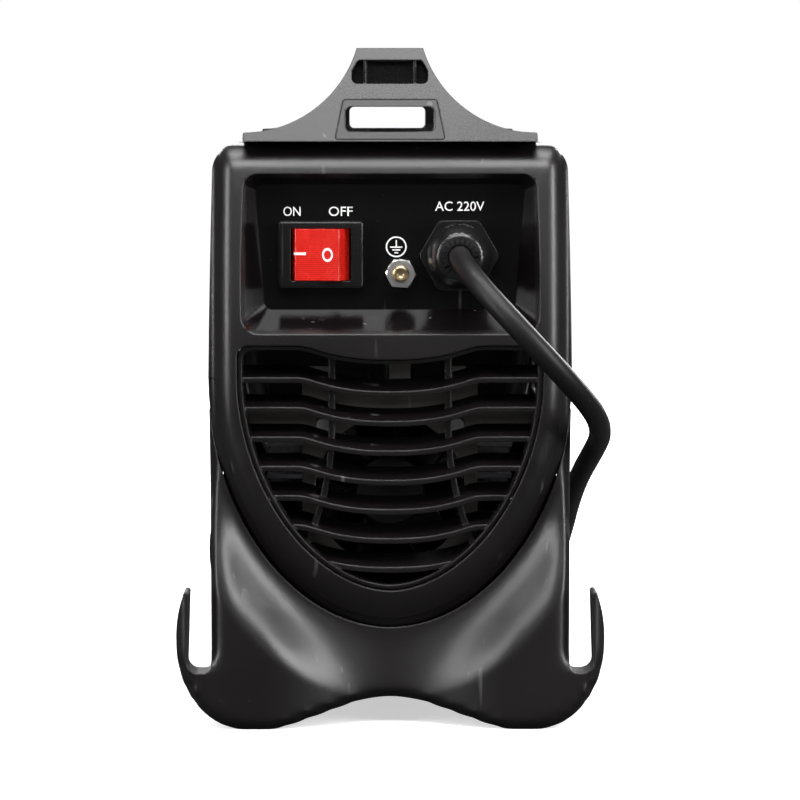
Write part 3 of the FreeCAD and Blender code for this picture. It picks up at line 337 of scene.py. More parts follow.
# %% [markdown]
# ### One recipe for solid finishes
# Plastic, paint, metal and rubber differ in colour, gloss, grain and wear, but their graph is the
# same: object coordinates feed the marks, the marks vary colour and roughness, and the grain goes
# through a Bump node on top of the softened edges. Even values, such as metallic and coat, are set
# straight on the shader, because only there do they survive an export.


# %% the finish recipe
POCKET_HALF = 0.0535
POCKET_MID = 0.1757
POCKET_TALL = 0.0278


def polished_area(tree, place):
    """1 inside the upright rectangle of the two sunk pockets and 0 outside it."""
    parts = add(tree, "ShaderNodeSeparateXYZ")
    join(tree, place, parts.inputs[0])
    across = math_node(tree, "SUBTRACT", math_node(tree, "ABSOLUTE", parts.outputs["X"], 0), POCKET_HALF)
    middle = math_node(tree, "SUBTRACT", parts.outputs["Z"], POCKET_MID)
    along = math_node(tree, "SUBTRACT", math_node(tree, "ABSOLUTE", middle, 0), POCKET_TALL)
    return remap(tree, math_node(tree, "MAXIMUM", across, along), 0.0006, -0.0006)


def start_material(name):
    material = bpy.data.materials.new(name)
    material.use_nodes = True
    tree = material.node_tree
    shader = tree.nodes["Principled BSDF"]
    place = add(tree, "ShaderNodeTexCoord").outputs["Object"]
    return material, tree, shader, place


def finish(name, colour, rough, grain=2600.0, bump=0.15, edge=0.0006, worn=0.12, marks_shown=1.0,
           metallic=0.0, coat=0.0, specular=0.5, tone=0.25, lift=(0.20, 0.19, 0.19), pocket=False):
    """A solid finish. lift is the paler colour of its scratches, specks and edges; on the edges it is partly
    rubbed wear and partly a painted highlight.
    """
    material, tree, shader, place = start_material(name)
    marked = add(tree, "ShaderNodeGroup", node_tree=marks)
    marked.inputs["Grain Size"].default_value = grain
    join(tree, place, marked.inputs["Place"])
    edges = add(tree, "ShaderNodeGroup", node_tree=soft)
    edges.inputs["Radius"].default_value = edge
    shade = add(tree, "ShaderNodeMix", data_type="RGBA")
    shade.inputs["A"].default_value = (*[value * (1 - tone) for value in colour], 1)
    shade.inputs["B"].default_value = (*[min(1.0, value * (1 + tone)) for value in colour], 1)
    join(tree, marked.outputs["Sheen"], shade.inputs["Factor"])
    # Edges turn paler by worn: partly rubbed wear, partly a painted highlight along each rounded edge.
    worn_and_highlit_edges = math_node(tree, "MULTIPLY", edges.outputs["Edge"], worn)
    lines = math_node(tree, "MULTIPLY", marked.outputs["Scratches"], 0.30 * marks_shown)
    dust = math_node(tree, "MULTIPLY", marked.outputs["Specks"], 0.35 * marks_shown)
    pale = math_node(tree, "ADD", math_node(tree, "ADD", lines, dust), worn_and_highlit_edges, True)
    colours = add(tree, "ShaderNodeMix", data_type="RGBA")
    colours.inputs["B"].default_value = (*lift, 1)
    join(tree, pale, colours.inputs["Factor"])
    join(tree, shade.outputs["Result"], colours.inputs["A"])
    join(tree, colours.outputs["Result"], shader.inputs["Base Color"])
    uneven = remap(tree, marked.outputs["Sheen"], 0.3, 0.7, rough - 0.035, rough + 0.035)
    fine = remap(tree, marked.outputs["Grain"], 0.3, 0.7, -0.02, 0.02)
    gloss = math_node(tree, "ADD", uneven, fine, True)
    if pocket:
        polished = polished_area(tree, place)
        gloss = math_node(tree, "SUBTRACT", gloss, math_node(tree, "MULTIPLY", polished, rough * 0.6))
    join(tree, gloss, shader.inputs["Roughness"])
    height = math_node(tree, "SUBTRACT", marked.outputs["Grain"],
                       math_node(tree, "MULTIPLY", marked.outputs["Scratches"], 0.6))
    relief = add(tree, "ShaderNodeBump", {"Strength": bump, "Distance": 0.00012})
    join(tree, height, relief.inputs["Height"])
    join(tree, edges.outputs["Normal"], relief.inputs["Normal"])
    join(tree, relief.outputs["Normal"], shader.inputs["Normal"])
    shader.inputs["Metallic"].default_value = metallic
    shader.inputs["Coat Weight"].default_value = coat
    shader.inputs["Coat Roughness"].default_value = 0.06
    shader.inputs["Specular IOR Level"].default_value = specular
    return material


print("finish recipe ready")

# %% [markdown]
# ### The plastics
# The case is black ABS with a satin spark-eroded skin, very slightly warm. The sunk pockets and their
# plates are glossier, and so is the nylon of the switch and the gland. Marks show most on black.

# %% plastics and rubber
CASE_BLACK = (0.0052, 0.0040, 0.0045)
case_plastic = finish("case_plastic", CASE_BLACK, 0.36, 2300.0, 0.22, 0.0009, 0.10,
                      specular=0.62)
face_plastic = finish("face_plastic", CASE_BLACK, 0.36, 2300.0, 0.22, 0.0009, 0.10,
                      specular=0.62, pocket=True)
handle_plastic = finish("handle_plastic", CASE_BLACK, 0.29, 2300.0, 0.18, 0.0009, 0.12,
                        specular=0.62, tone=0.4)
grille_plastic = finish("grille_plastic", (0.0050, 0.0039, 0.0042), 0.33, 2300.0, 0.16, 0.0009, 0.10)
plate_gloss = finish("plate_gloss", (0.0035, 0.0034, 0.0036), 0.16, 1200.0, 0.02, 0.0003, 0.05, 0.6)
switch_nylon = finish("switch_nylon", (0.0060, 0.0058, 0.0060), 0.27, 3200.0, 0.08, 0.0005, 0.08, 0.5)
gland_nylon = finish("gland_nylon", (0.0070, 0.0068, 0.0072), 0.24, 3200.0, 0.08, 0.0005, 0.08, 0.6)
lead_rubber = finish("lead_rubber", (0.0075, 0.0068, 0.0075), 0.45, 1700.0, 0.30, 0.0004, 0.0, 0.8,
                     specular=0.32)
plug_rubber = finish("plug_rubber", (0.0120, 0.0115, 0.0120), 0.46, 2100.0, 0.30, 0.0006, 0.08, 0.8)
knob_plastic = finish("knob_plastic", (0.0120, 0.0115, 0.0120), 0.34, 2600.0, 0.18, 0.0005, 0.10)
socket_nylon = finish("socket_nylon", (0.0130, 0.0125, 0.0130), 0.44, 2100.0, 0.25, 0.0005, 0.10)
fan_plastic = finish("fan_plastic", (0.0140, 0.0138, 0.0142), 0.40, 2600.0, 0.15, 0.0005, 0.05)
strap_weave = finish("strap_weave", (0.0150, 0.0145, 0.0150), 0.80, 900.0, 0.80, 0.0004, 0.05)
seal_rubber = finish("seal_rubber", (0.0150, 0.0150, 0.0150), 0.65, 1800.0, 0.30)
print("plastics made")

# %% [markdown]
# ### Paint and metals
# The steel cover and tray have a fine-textured powder coat. The nut is nickel plated, the stud and the
# contacts are brass, the fan's bracket is galvanised, and the heat sinks are extruded aluminium.

# %% paint and metals
WHITE_LIFT = (0.75, 0.74, 0.72)
cover_paint = finish("cover_paint", (0.0170, 0.0168, 0.0172), 0.50, 1500.0, 0.60, 0.0006, 0.12)
black_screw = finish("black_screw", (0.0250, 0.0245, 0.0240), 0.38, 2400.0, 0.20, 0.0003, 0.30, 1.0, 0.9)
nickel = finish("nickel", (0.90, 0.88, 0.84), 0.33, 1800.0, 0.12, 0.0003, 0.25, 1.0, 1.0, lift=WHITE_LIFT)
stud_brass = finish("stud_brass", (0.62, 0.47, 0.27), 0.30, 1500.0, 0.20, 0.0003, 0.2, 1.0, 1.0,
                    lift=WHITE_LIFT)
contact_brass = finish("contact_brass", (0.72, 0.53, 0.26), 0.26, 1500.0, 0.15, 0.0003, 0.25, 1.0, 1.0,
                       lift=WHITE_LIFT)
galvanised = finish("galvanised", (0.20, 0.19, 0.18), 0.42, 420.0, 0.25, 0.0003, 0.2, 1.0, 1.0, tone=0.4,
                    lift=WHITE_LIFT)
tinned = finish("tinned", (0.60, 0.60, 0.60), 0.32, 1500.0, 0.15, 0.0003, 0.2, 1.0, 1.0, lift=WHITE_LIFT)
aluminium = finish("aluminium", (0.62, 0.63, 0.65), 0.36, 1500.0, 0.20, 0.0003, 0.2, 1.0, 1.0,
                   lift=WHITE_LIFT)
copper = finish("copper", (0.70, 0.34, 0.20), 0.30, 1500.0, 0.15, 0.0003, 0.2, 1.0, 1.0, lift=WHITE_LIFT)
board_green = finish("board_green", (0.010, 0.085, 0.035), 0.30, 900.0, 0.15, 0.0003, 0.1, 0.5, coat=0.4)
package_epoxy = finish("package_epoxy", (0.012, 0.012, 0.012), 0.5, 2600.0, 0.3)
can_sleeve = finish("can_sleeve", (0.012, 0.022, 0.060), 0.25, 1500.0, 0.08, coat=0.5)
ferrite = finish("ferrite", (0.030, 0.030, 0.032), 0.55, 1300.0, 0.6)
winding_tape = finish("winding_tape", (0.55, 0.33, 0.05), 0.35, 700.0, 0.3, tone=0.35)
lead_sheath = finish("lead_sheath", (0.16, 0.055, 0.020), 0.40, 1700.0, 0.1)
print("paint and metals made")

# %% [markdown]
# ### The red rocker
# The rocker is clear red plastic over a lamp chamber. Under its smooth face there are fine upright prisms, which
# show as close lines of lighter and deeper red. A wave texture draws the prisms, both as colour and as relief, and
# a clear coat stays smooth over them. A weak emission in the same red is a painted glow that brightens the rocker
# as light would.

# %% the rocker's red
red_rocker, tree, shader, place = start_material("red_rocker")
prisms = add(tree, "ShaderNodeTexWave", {"Scale": 520.0, "Distortion": 0.0}, bands_direction="X")
join(tree, place, prisms.inputs["Vector"])
cross = add(tree, "ShaderNodeTexWave", {"Scale": 430.0, "Distortion": 0.0}, bands_direction="Z")
join(tree, place, cross.inputs["Vector"])
cloud = mapped_noise(tree, place, 160.0, 3.0)
lines = math_node(tree, "ADD", math_node(tree, "MULTIPLY", prisms.outputs["Fac"], 0.22),
                  math_node(tree, "MULTIPLY", cross.outputs["Fac"], 0.38))
depth = math_node(tree, "ADD", lines, math_node(tree, "MULTIPLY", cloud, 0.35), True)
reds = add(tree, "ShaderNodeMix", data_type="RGBA")
reds.inputs["A"].default_value = (0.30, 0.004, 0.003, 1)
reds.inputs["B"].default_value = (0.80, 0.022, 0.012, 1)
join(tree, depth, reds.inputs["Factor"])
join(tree, reds.outputs["Result"], shader.inputs["Base Color"])
# Painted glow: the red is fed to emission to brighten it as if lit; it is not light from a lamp.
join(tree, reds.outputs["Result"], shader.inputs["Emission Color"])
shader.inputs["Emission Strength"].default_value = 0.24
join(tree, remap(tree, cloud, 0.3, 0.7, 0.22, 0.32), shader.inputs["Roughness"])
relief = add(tree, "ShaderNodeBump", {"Strength": 0.25, "Distance": 0.0002})
join(tree, depth, relief.inputs["Height"])
edges = add(tree, "ShaderNodeGroup", node_tree=soft)
edges.inputs["Radius"].default_value = 0.0006
join(tree, edges.outputs["Normal"], relief.inputs["Normal"])
join(tree, relief.outputs["Normal"], shader.inputs["Normal"])
shader.inputs["Coat Weight"].default_value = 0.8
shader.inputs["Coat Roughness"].default_value = 0.08
print("red rocker made")

# %% [markdown]
# ### Ink, lamps and the smoked window
# Printed marks are a thin layer of ink whose edge is never quite even. The lamps are small clear lenses, and the
# display's window is dark smoked plastic with glowing segments behind it. The white ink has a small glow too,
# which is painted light that brightens the print.


# %% ink and lamp finishes
def ink(name, colour, glow=0.0):
    material, tree, shader, place = start_material(name)
    worn = mapped_noise(tree, place, 900.0, 3.0)
    shades = add(tree, "ShaderNodeMix", data_type="RGBA")
    shades.inputs["A"].default_value = (*[value * 0.78 for value in colour], 1)
    shades.inputs["B"].default_value = (*colour, 1)
    join(tree, remap(tree, worn, 0.35, 0.55), shades.inputs["Factor"])
    join(tree, shades.outputs["Result"], shader.inputs["Base Color"])
    join(tree, remap(tree, worn, 0.3, 0.7, 0.38, 0.52), shader.inputs["Roughness"])
    if glow:
        join(tree, shades.outputs["Result"], shader.inputs["Emission Color"])
        shader.inputs["Emission Strength"].default_value = glow
    return material


# The white ink's glow of 0.15 is painted light: print is no lamp, and the glow only brightens it.
white_ink = ink("white_ink", (0.86, 0.86, 0.85), 0.15)
segment_glow = ink("segment_glow", (0.95, 0.06, 0.02), 2.0)
lamp_lens = ink("lamp_lens", (0.05, 0.55, 0.12), 0.4)
window_smoke = finish("window_smoke", (0.020, 0.004, 0.004), 0.08, 1200.0, 0.01, 0.0003, 0.05, 0.4, coat=0.6)
print("inks made")

# %% [markdown]
# ## Giving the frame its finishes
# The frame's own meshes are right in shape, so they keep it. A frame mesh is loose triangles, which
# shade as facets where a wall is curved, so each piece that shows is copied, its doubled points are
# merged, and it is shaded smooth up to an angle. Pieces deep inside keep the frame's mesh.

# %% which finish goes on which node
FINISHES = {
    "rear_panel": face_plastic, "front_panel": face_plastic, "rear_skirt": case_plastic,
    "front_skirt": case_plastic, "handle": handle_plastic, "strap_plate_rear": grille_plastic,
    "strap_plate_front": grille_plastic, "rear_grille": grille_plastic,
    "front_socket_plate": grille_plastic, "rear_terminal_plate": plate_gloss,
    "front_control_plate": plate_gloss, "top_cover": cover_paint, "base_tray": cover_paint,
    "cover_screws": black_screw, "skirt_screws": black_screw, "handle_screws": black_screw,
    "switch_housing": switch_nylon, "switch_rocker": red_rocker, "switch_terminals": tinned,
    "switch_leads": lead_sheath, "earth_stud": stud_brass, "earth_nut": nickel, "earth_washer": nickel,
    "gland_body": gland_nylon, "gland_cap": gland_nylon, "gland_locknut": gland_nylon,
    "gland_seal": seal_rubber, "mains_lead_inner": lead_rubber, "plug_pins": contact_brass,
    "fan_frame": fan_plastic, "fan_rotor": fan_plastic, "fan_bracket": galvanised, "fan_screws": tinned,
    "heatsink_left": aluminium, "heatsink_right": aluminium, "power_transistors": package_epoxy,
    "power_board": board_green, "control_board": board_green, "display_module": board_green,
    "board_standoffs": tinned, "capacitors": can_sleeve, "transformer_core": ferrite,
    "transformer_winding": winding_tape, "output_inductor": winding_tape, "output_busbars": copper,
    "output_socket_plus": socket_nylon, "output_socket_minus": socket_nylon,
    "output_contact_plus": contact_brass, "output_contact_minus": contact_brass,
    "contact_nuts": nickel, "current_knob": knob_plastic, "knob_shaft": tinned,
    "potentiometer": tinned, "display_window": window_smoke, "indicator_lamps": lamp_lens,
}
body_of = {node: body for body, members in frame["record"]["behaviour"]["bodies"].items() for node in members}
print("finishes for", len(FINISHES), "nodes")

# %% smooth copies of the pieces that show
SMOOTHED = [
    "rear_panel", "front_panel", "rear_skirt", "front_skirt", "handle", "rear_grille", "top_cover",
    "gland_cap", "gland_body", "earth_washer", "switch_rocker", "switch_housing",
    "current_knob", "output_socket_plus", "output_socket_minus", "output_contact_plus",
    "output_contact_minus", "fan_rotor", "fan_frame", "indicator_lamps", "capacitors", "output_inductor",
    "cover_screws", "skirt_screws", "plug_pins", "display_window", "rear_terminal_plate",
    "front_control_plate", "front_socket_plate", "strap_plate_rear", "strap_plate_front",
]
SMOOTH_UP_TO = math.radians(32)
MERGE = 0.000002


def put_material(piece, material):
    piece.data.materials.clear()
    piece.data.materials.append(material)


def smooth_copy(name):
    source = nodes[name]
    piece = bpy.data.objects.new(name + "_shell", source.data.copy())
    bpy.context.scene.collection.objects.link(piece)
    edit(piece)
    bpy.ops.mesh.remove_doubles(threshold=MERGE)
    bpy.ops.object.mode_set(mode="OBJECT")
    if piece.data.has_custom_normals:
        bpy.ops.mesh.customdata_custom_splitnormals_clear()
    bpy.ops.object.shade_smooth_by_angle(angle=SMOOTH_UP_TO)
    put_material(piece, FINISHES[name])
    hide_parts(name)
    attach(piece, body_of[name])
    return piece


shells = {}
for name in SMOOTHED:
    shells[name] = smooth_copy(name)
for name, material in FINISHES.items():
    if name not in shells:
        put_material(nodes[name], material)
print("smoothed", len(shells), "kept", len(FINISHES) - len(shells))

# %% [markdown]
# ## Printed marks on the terminal plate
# The words beside a switch and a mains inlet are screen printed. Text is typed as a curve, given the
# thickness of ink, turned upright, and made a mesh before its place goes into the mesh.

# %% lettering
PLATE_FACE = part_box("rear_terminal_plate")[0].y / MM
INK = 0.05
CAPITAL_SHARE = 0.69


def printed_word(name, word, x, z, height, wide=None, face=PLATE_FACE, turned=False):
    bpy.ops.object.select_all(action="DESELECT")
    bpy.ops.object.text_add(location=(0, 0, 0))
    piece = bpy.context.object
    piece.data.body = word
    piece.data.align_x = "CENTER"
    piece.data.align_y = "CENTER"
    piece.data.size = height * MM / CAPITAL_SHARE
    piece.data.offset = 0.00002
    piece.data.extrude = INK / 2 * MM
    piece.data.resolution_u = 4
    bpy.ops.object.convert(target="MESH")
    piece = bpy.context.object
    if wide:
        piece.scale.x = wide * MM / piece.dimensions.x
    side = 1 if turned else -1
    piece.rotation_euler = (math.radians(90), 0, math.radians(180) if turned else 0)
    piece.location = (x * MM, (face + side * INK / 2) * MM, z * MM)
    done(piece, name)
    put_material(piece, white_ink)
    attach(piece, "casing")


printed_word("word_on", "ON", -36.4, 191.1, 3.4, 6.4)
printed_word("word_off", "OFF", -18.4, 191.1, 3.4, 8.9)
printed_word("word_mains", "AC 220V", 25.9, 193.0, 3.4, 18.3)
print("words printed")

# %% [markdown]
# The earth sign is a ring round an upright with three bars, each shorter than the one above it. The
# ring starts as a flat circle whose face is inset and whose middle is deleted.


# %% the earth sign and other flat marks
def thicken(piece):
    """Gives a flat piece the thickness of ink."""
    edit(piece)
    bpy.ops.mesh.extrude_region_move(TRANSFORM_OT_translate={"value": (0, 0, INK * MM)})
    edit(piece)
    bpy.ops.mesh.normals_make_consistent(inside=False)
    bpy.ops.object.mode_set(mode="OBJECT")


def flat_bar(name, x, z, wide, high, face=PLATE_FACE, material=None, body="casing"):
    bpy.ops.object.select_all(action="DESELECT")
    bpy.ops.mesh.primitive_plane_add(size=1, location=(0, 0, 0))
    piece = bpy.context.object
    piece.scale = (wide * MM, high * MM, 1)
    bpy.ops.object.transform_apply(location=False, rotation=False, scale=True)
    thicken(piece)
    piece.rotation_euler = (math.radians(90), 0, math.radians(180) if face > 0 else 0)
    piece.location = (x * MM, face * MM, z * MM)
    done(piece, name)
    put_material(piece, material or white_ink)
    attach(piece, body)
    return piece


def flat_ring(name, x, z, outer, inner, face=PLATE_FACE, high=1.0, body="casing"):
    bpy.ops.object.select_all(action="DESELECT")
    bpy.ops.mesh.primitive_circle_add(vertices=48, radius=outer * MM, fill_type="NGON")
    piece = bpy.context.object
    edit(piece)
    bpy.ops.mesh.inset(thickness=(outer - inner) * MM)
    bpy.ops.mesh.delete(type="FACE")
    thicken(piece)
    piece.scale.y = high
    piece.rotation_euler = (math.radians(90), 0, 0)
    piece.location = (x * MM, face * MM, z * MM)
    done(piece, name)
    put_material(piece, white_ink)
    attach(piece, body)
    return piece


EARTH_X = 2.3
EARTH_Z = 178.1
flat_ring("earth_ring", EARTH_X, EARTH_Z, 3.9, 3.35)
flat_bar("earth_upright", EARTH_X, EARTH_Z + 1.25, 0.5, 2.5)
for row, wide in enumerate((4.6, 3.0, 1.4)):
    flat_bar(f"earth_bar_{row}", EARTH_X, EARTH_Z - 0.1 - 1.05 * row, wide, 0.5)
print("earth sign printed")

# %% [markdown]
# ## Marks on the rocker
# The line and the circle are moulded white into the rocker's two faces. They are made flat, then
# turned with the face that they sit on, and they ride on the rocker, so they tip with it.

# %% the rocker's marks
tilt = next(joint for joint in frame["joints"] if joint["name"] == "rocker_tilt")
PIVOT = Vector(tilt["pos_m"])
FACE_SLOPE = math.atan2(1.5, 8.3)
REST_TIP = math.radians(10)
ROCKER_VALLEY = 7.0
MARK_GAP = 0.02


def place_on_rocker(piece, across, z_offset, side):
    """Turns a mark from the bezel's plane on to the left (-1) or right (1) face of the rocker."""
    out = ROCKER_VALLEY + abs(across) * math.tan(FACE_SLOPE) + MARK_GAP
    tip = Matrix.Rotation(side * FACE_SLOPE * -1, 4, "Z")
    local = Matrix.Translation(Vector((across * MM, -out * MM, z_offset * MM))) @ tip
    rest = Matrix.Translation(PIVOT) @ Matrix.Rotation(-REST_TIP, 4, "Z")
    piece.data.transform(rest @ local)
    piece.data.update()


on_mark = flat_bar("rocker_line", 0, 0, 4.4, 1.0, face=0.0, body="rocker")
place_on_rocker(on_mark, -6.4, 0.4, -1)
off_mark = flat_ring("rocker_circle", 0, 0, 2.15, 1.4, face=0.0, high=1.2, body="rocker")
place_on_rocker(off_mark, 3.9, 0.0, 1)
print("rocker marked")

# %% [markdown]
# ## The earth nut and stud
# A cut hexagon nut has a round chamfer on its face, so its corners fade into the face and each flat
# catches its own light. The chamfer is cut with bisect: three slanted planes at every corner remove the
# tip. The bore is then cut with a Boolean modifier.

# %% the earth nut
STUD = Vector((3.9, 0.0, 168.3)) * MM
NUT_FRONT = -134.0 * MM
NUT_DEEP = 4.9 * MM
NUT_CORNER = 5.77 * MM
NUT_BORE = 3.02 * MM
NUT_LEAN = math.radians(28)
CHAMFER = 5.15 * MM
CHAMFER_TURNS = (-0.34, 0.0, 0.34)

bpy.ops.object.select_all(action="DESELECT")
bpy.ops.mesh.primitive_cylinder_add(vertices=6, radius=NUT_CORNER, depth=NUT_DEEP, end_fill_type="NGON")
nut = bpy.context.object
nut.rotation_euler = (0, 0, math.radians(30))
bpy.ops.object.transform_apply(location=False, rotation=True, scale=False)
corner_turns = [math.atan2(v.co.y, v.co.x) for v in nut.data.vertices if v.co.z > 0]
for side in (1, -1):
    for corner in corner_turns:
        for spread in CHAMFER_TURNS:
            turn = corner + spread
            normal = Vector((math.sin(NUT_LEAN) * math.cos(turn), math.sin(NUT_LEAN) * math.sin(turn),
                             side * math.cos(NUT_LEAN)))
            spot = Vector((CHAMFER * math.cos(turn), CHAMFER * math.sin(turn), side * NUT_DEEP / 2))
            edit(nut)
            bpy.ops.mesh.bisect(plane_co=spot, plane_no=normal, use_fill=True, clear_outer=True)
edit(nut)
bpy.ops.mesh.normals_make_consistent(inside=False)
bpy.ops.object.mode_set(mode="OBJECT")
bpy.ops.object.select_all(action="DESELECT")
bpy.ops.mesh.primitive_cylinder_add(vertices=48, radius=NUT_BORE, depth=4 * NUT_DEEP)
bore = bpy.context.object
choose(nut)
cut = nut.modifiers.new("bore", "BOOLEAN")
cut.operation = "DIFFERENCE"
cut.object = bore
bpy.ops.object.modifier_apply(modifier="bore")
bpy.data.objects.remove(bore)
nut.rotation_euler = (math.radians(90), math.radians(4), 0)
nut.location = (STUD.x, NUT_FRONT + NUT_DEEP / 2, STUD.z)
done(nut, "nut_hex")
choose(nut)
bpy.ops.object.shade_smooth_by_angle(angle=math.radians(20))
put_material(nut, nickel)
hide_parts("earth_nut")
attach(nut, "casing")
print("nut faces", len(nut.data.polygons))

# %% [markdown]
# The stud is drawn as half of its section and spun about its axis: thread crests run along it, its end
# is chamfered, and the dimple left by the lathe's centre sits in the middle.

# %% the earth stud
CREST = 2.98
ROOT = 2.62
PITCH = 1.0
STUD_END = -137.2 * MM
STUD_LONG = 18.1
profile = [(0.0, 0.9), (1.1, 0.25), (1.75, 0.0), (2.35, 0.0)]
along_stud = 0.45
while along_stud < STUD_LONG - 0.7:
    profile += [(CREST, along_stud), (CREST, along_stud + 0.15), (ROOT, along_stud + 0.5),
                (ROOT, along_stud + 0.65)]
    along_stud += PITCH
profile += [(ROOT, STUD_LONG), (0.0, STUD_LONG)]
mesh = bpy.data.meshes.new("stud_thread")
mesh.from_pydata([(r * MM, y * MM, 0) for r, y in profile], [(i, i + 1) for i in range(len(profile) - 1)], [])
stud = bpy.data.objects.new("stud_thread", mesh)
bpy.context.scene.collection.objects.link(stud)
choose(stud)
bpy.ops.object.mode_set(mode="EDIT")
bpy.ops.mesh.select_all(action="SELECT")
bpy.ops.mesh.spin(steps=40, angle=2 * math.pi, center=(0, 0, 0), axis=(0, 1, 0))
bpy.ops.mesh.select_all(action="SELECT")
bpy.ops.mesh.remove_doubles(threshold=0.000005)
bpy.ops.mesh.normals_make_consistent(inside=False)
bpy.ops.object.mode_set(mode="OBJECT")
stud.location = (STUD.x, STUD_END, STUD.z)
done(stud, "stud_thread")
choose(stud)
bpy.ops.object.shade_smooth_by_angle(angle=math.radians(35))
put_material(stud, stud_brass)
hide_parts("earth_stud")
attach(stud, "casing")
print("stud profile", len(profile))

# %% [markdown]
# ## The gland's grip
# Inside the mouth of a cable gland's cap, a ring of small fingers closes on the lead. Each finger is a
# small block with bevelled edges, turned to its place about the gland's own axis, and all are joined
# into one ring.

# %% the gland's fingers
GLAND = Vector((25.6, -147.5, 175.0)) * MM
FINGERS = 20
FINGER_OUT = 7.3
FINGER_IN = 4.6
FINGER_DEEP = 2.2
FINGER_WIDE = 1.35


def finger(step):
    bpy.ops.object.select_all(action="DESELECT")
    bpy.ops.mesh.primitive_cube_add(size=1, location=(0, 0, 0))
    piece = bpy.context.object
    piece.scale = ((FINGER_OUT - FINGER_IN) * MM, FINGER_DEEP * MM, FINGER_WIDE * MM)
    bpy.ops.object.transform_apply(location=False, rotation=False, scale=True)
    edit(piece)
    bpy.ops.mesh.bevel(offset=0.00035, segments=2, affect="EDGES")
    bpy.ops.object.mode_set(mode="OBJECT")
    turn = Matrix.Rotation(math.radians(360 / FINGERS * step), 4, "Y")
    middle = Vector((FINGER_OUT + FINGER_IN, FINGER_DEEP, 0)) / 2 * MM
    piece.data.transform(Matrix.Translation(GLAND) @ turn @ Matrix.Translation(middle))
    return piece


grip = joined([finger(step) for step in range(FINGERS)], "gland_fingers")
put_material(grip, gland_nylon)
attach(grip, "casing")
print("fingers", FINGERS)

# %% [markdown]
# ## The control side
# The knob has a scale of short ticks, each turned to point at the knob's centre, with numbers at its
# ends and middle. The sockets are marked plus and minus, and the lamps have their meaning beside them.
# Seen from the control side X runs the other way, so these words are turned half round.

# %% the dial and the socket marks
CONTROL_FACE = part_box("front_control_plate")[1].y / MM
SOCKET_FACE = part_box("front_socket_plate")[1].y / MM
KNOB_X = -24.0
KNOB_Z = 178.0
TICKS = 11
TICK_RADIUS = 15.8 * MM


def dial_tick(step):
    angle = math.radians(-135 + 270 / (TICKS - 1) * step)
    bpy.ops.object.select_all(action="DESELECT")
    bpy.ops.mesh.primitive_cube_add(size=1, location=(0, 0, 0))
    piece = bpy.context.object
    tall = 2.4 if step % 5 == 0 else 1.6
    piece.scale = (0.5 * MM, INK * MM, tall * MM)
    bpy.ops.object.transform_apply(location=False, rotation=False, scale=True)
    spot = Matrix.Translation((KNOB_X * MM, (CONTROL_FACE + INK / 2) * MM, KNOB_Z * MM))
    piece.data.transform(spot @ Matrix.Rotation(angle, 4, "Y") @ Matrix.Translation((0, 0, TICK_RADIUS)))
    return piece


scale_ring = joined([dial_tick(step) for step in range(TICKS)], "dial_ticks")
put_material(scale_ring, white_ink)
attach(scale_ring, "casing")
for name, word, x, z, height in (
    ("dial_low", "20", -11.6, 164.2, 2.4), ("dial_mid", "80", -24.0, 197.4, 2.4),
    ("dial_high", "140", -36.6, 164.2, 2.4), ("word_amps", "A", 18.0, 175.6, 2.6),
    ("word_power", "ON", 10.0, 161.2, 2.2), ("word_heat", "O.C.", 26.0, 161.2, 2.2),
):
    printed_word(name, word, x, z, height, face=CONTROL_FACE, turned=True)
for name, word, x in (("mark_plus", "+", -27.0), ("mark_minus", "-", 27.0)):
    printed_word(name, word, x, 107.5, 5.0, face=SOCKET_FACE, turned=True)
print("control side marked")

# %% [markdown]
# Seven-segment digits glow on the smoked window. Each segment is a flat bar, and a digit is a choice
# of segments. The shown current is a plausible setting.

# %% the display's digits
WINDOW_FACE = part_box("display_window")[1].y / MM
SEGMENTS = {
    "top": (0, 2, 2.9, 0.6), "middle": (0, 0, 2.9, 0.6), "bottom": (0, -2, 2.9, 0.6),
    "upper_left": (-1.75, 2, 0.6, 3.1), "upper_right": (1.75, 2, 0.6, 3.1),
    "lower_left": (-1.75, -2, 0.6, 3.1), "lower_right": (1.75, -2, 0.6, 3.1),
}
DIGITS = {
    "1": ("upper_right", "lower_right"),
    "2": ("top", "upper_right", "middle", "lower_left", "bottom"),
    "0": ("top", "upper_left", "upper_right", "lower_left", "lower_right", "bottom"),
}
DIGIT_X = 25.0
DIGIT_Z = 187.0
DIGIT_STEP = 7.0
SHOWN = "120"
for place_index, digit in enumerate(SHOWN):
    centre = DIGIT_X - DIGIT_STEP * place_index
    for segment in DIGITS[digit]:
        across, up, wide, high = SEGMENTS[segment]
        tall = 0.9 * up if segment in ("top", "bottom") else 0.5 * up
        flat_bar(f"digit_{place_index}_{segment}", centre - across, DIGIT_Z + 2 * tall, wide, high,
                 face=WINDOW_FACE, material=segment_glow)
print("digits shown", len(SHOWN))

# %% [markdown]
# ## The coil's tie and the plug
# A hook-and-loop strap holds the coil, and the plug is moulded rubber. Both keep the frame's shape:
# they are smooth copies with a woven and a rubber finish.

# %% the tie and the plug
FINISHES["coil_tie"] = strap_weave
FINISHES["plug_body"] = plug_rubber
for name in ("coil_tie", "plug_body"):
    shells[name] = smooth_copy(name)
print("tie and plug finished")

# %% [markdown]
# The lead is finished last, when all its pieces exist: it gets its rubber finish, and it stands for the three
# frame pieces that kept its place, which are hidden.

put_material(lead, lead_rubber)
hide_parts("mains_cord", "mains_cord_coil", "mains_cord_tail")
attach(lead, "casing")

# %% [markdown]
# ## Light and floor
# Black plastic shows its shape only by what it reflects. Two wide soft boxes hang overhead and high in
# front, where the leaning handle and the rounded edges mirror them, two tall strips stand at the sides,
# and three more boxes light the control side. The world is white to the camera and dim to all else.


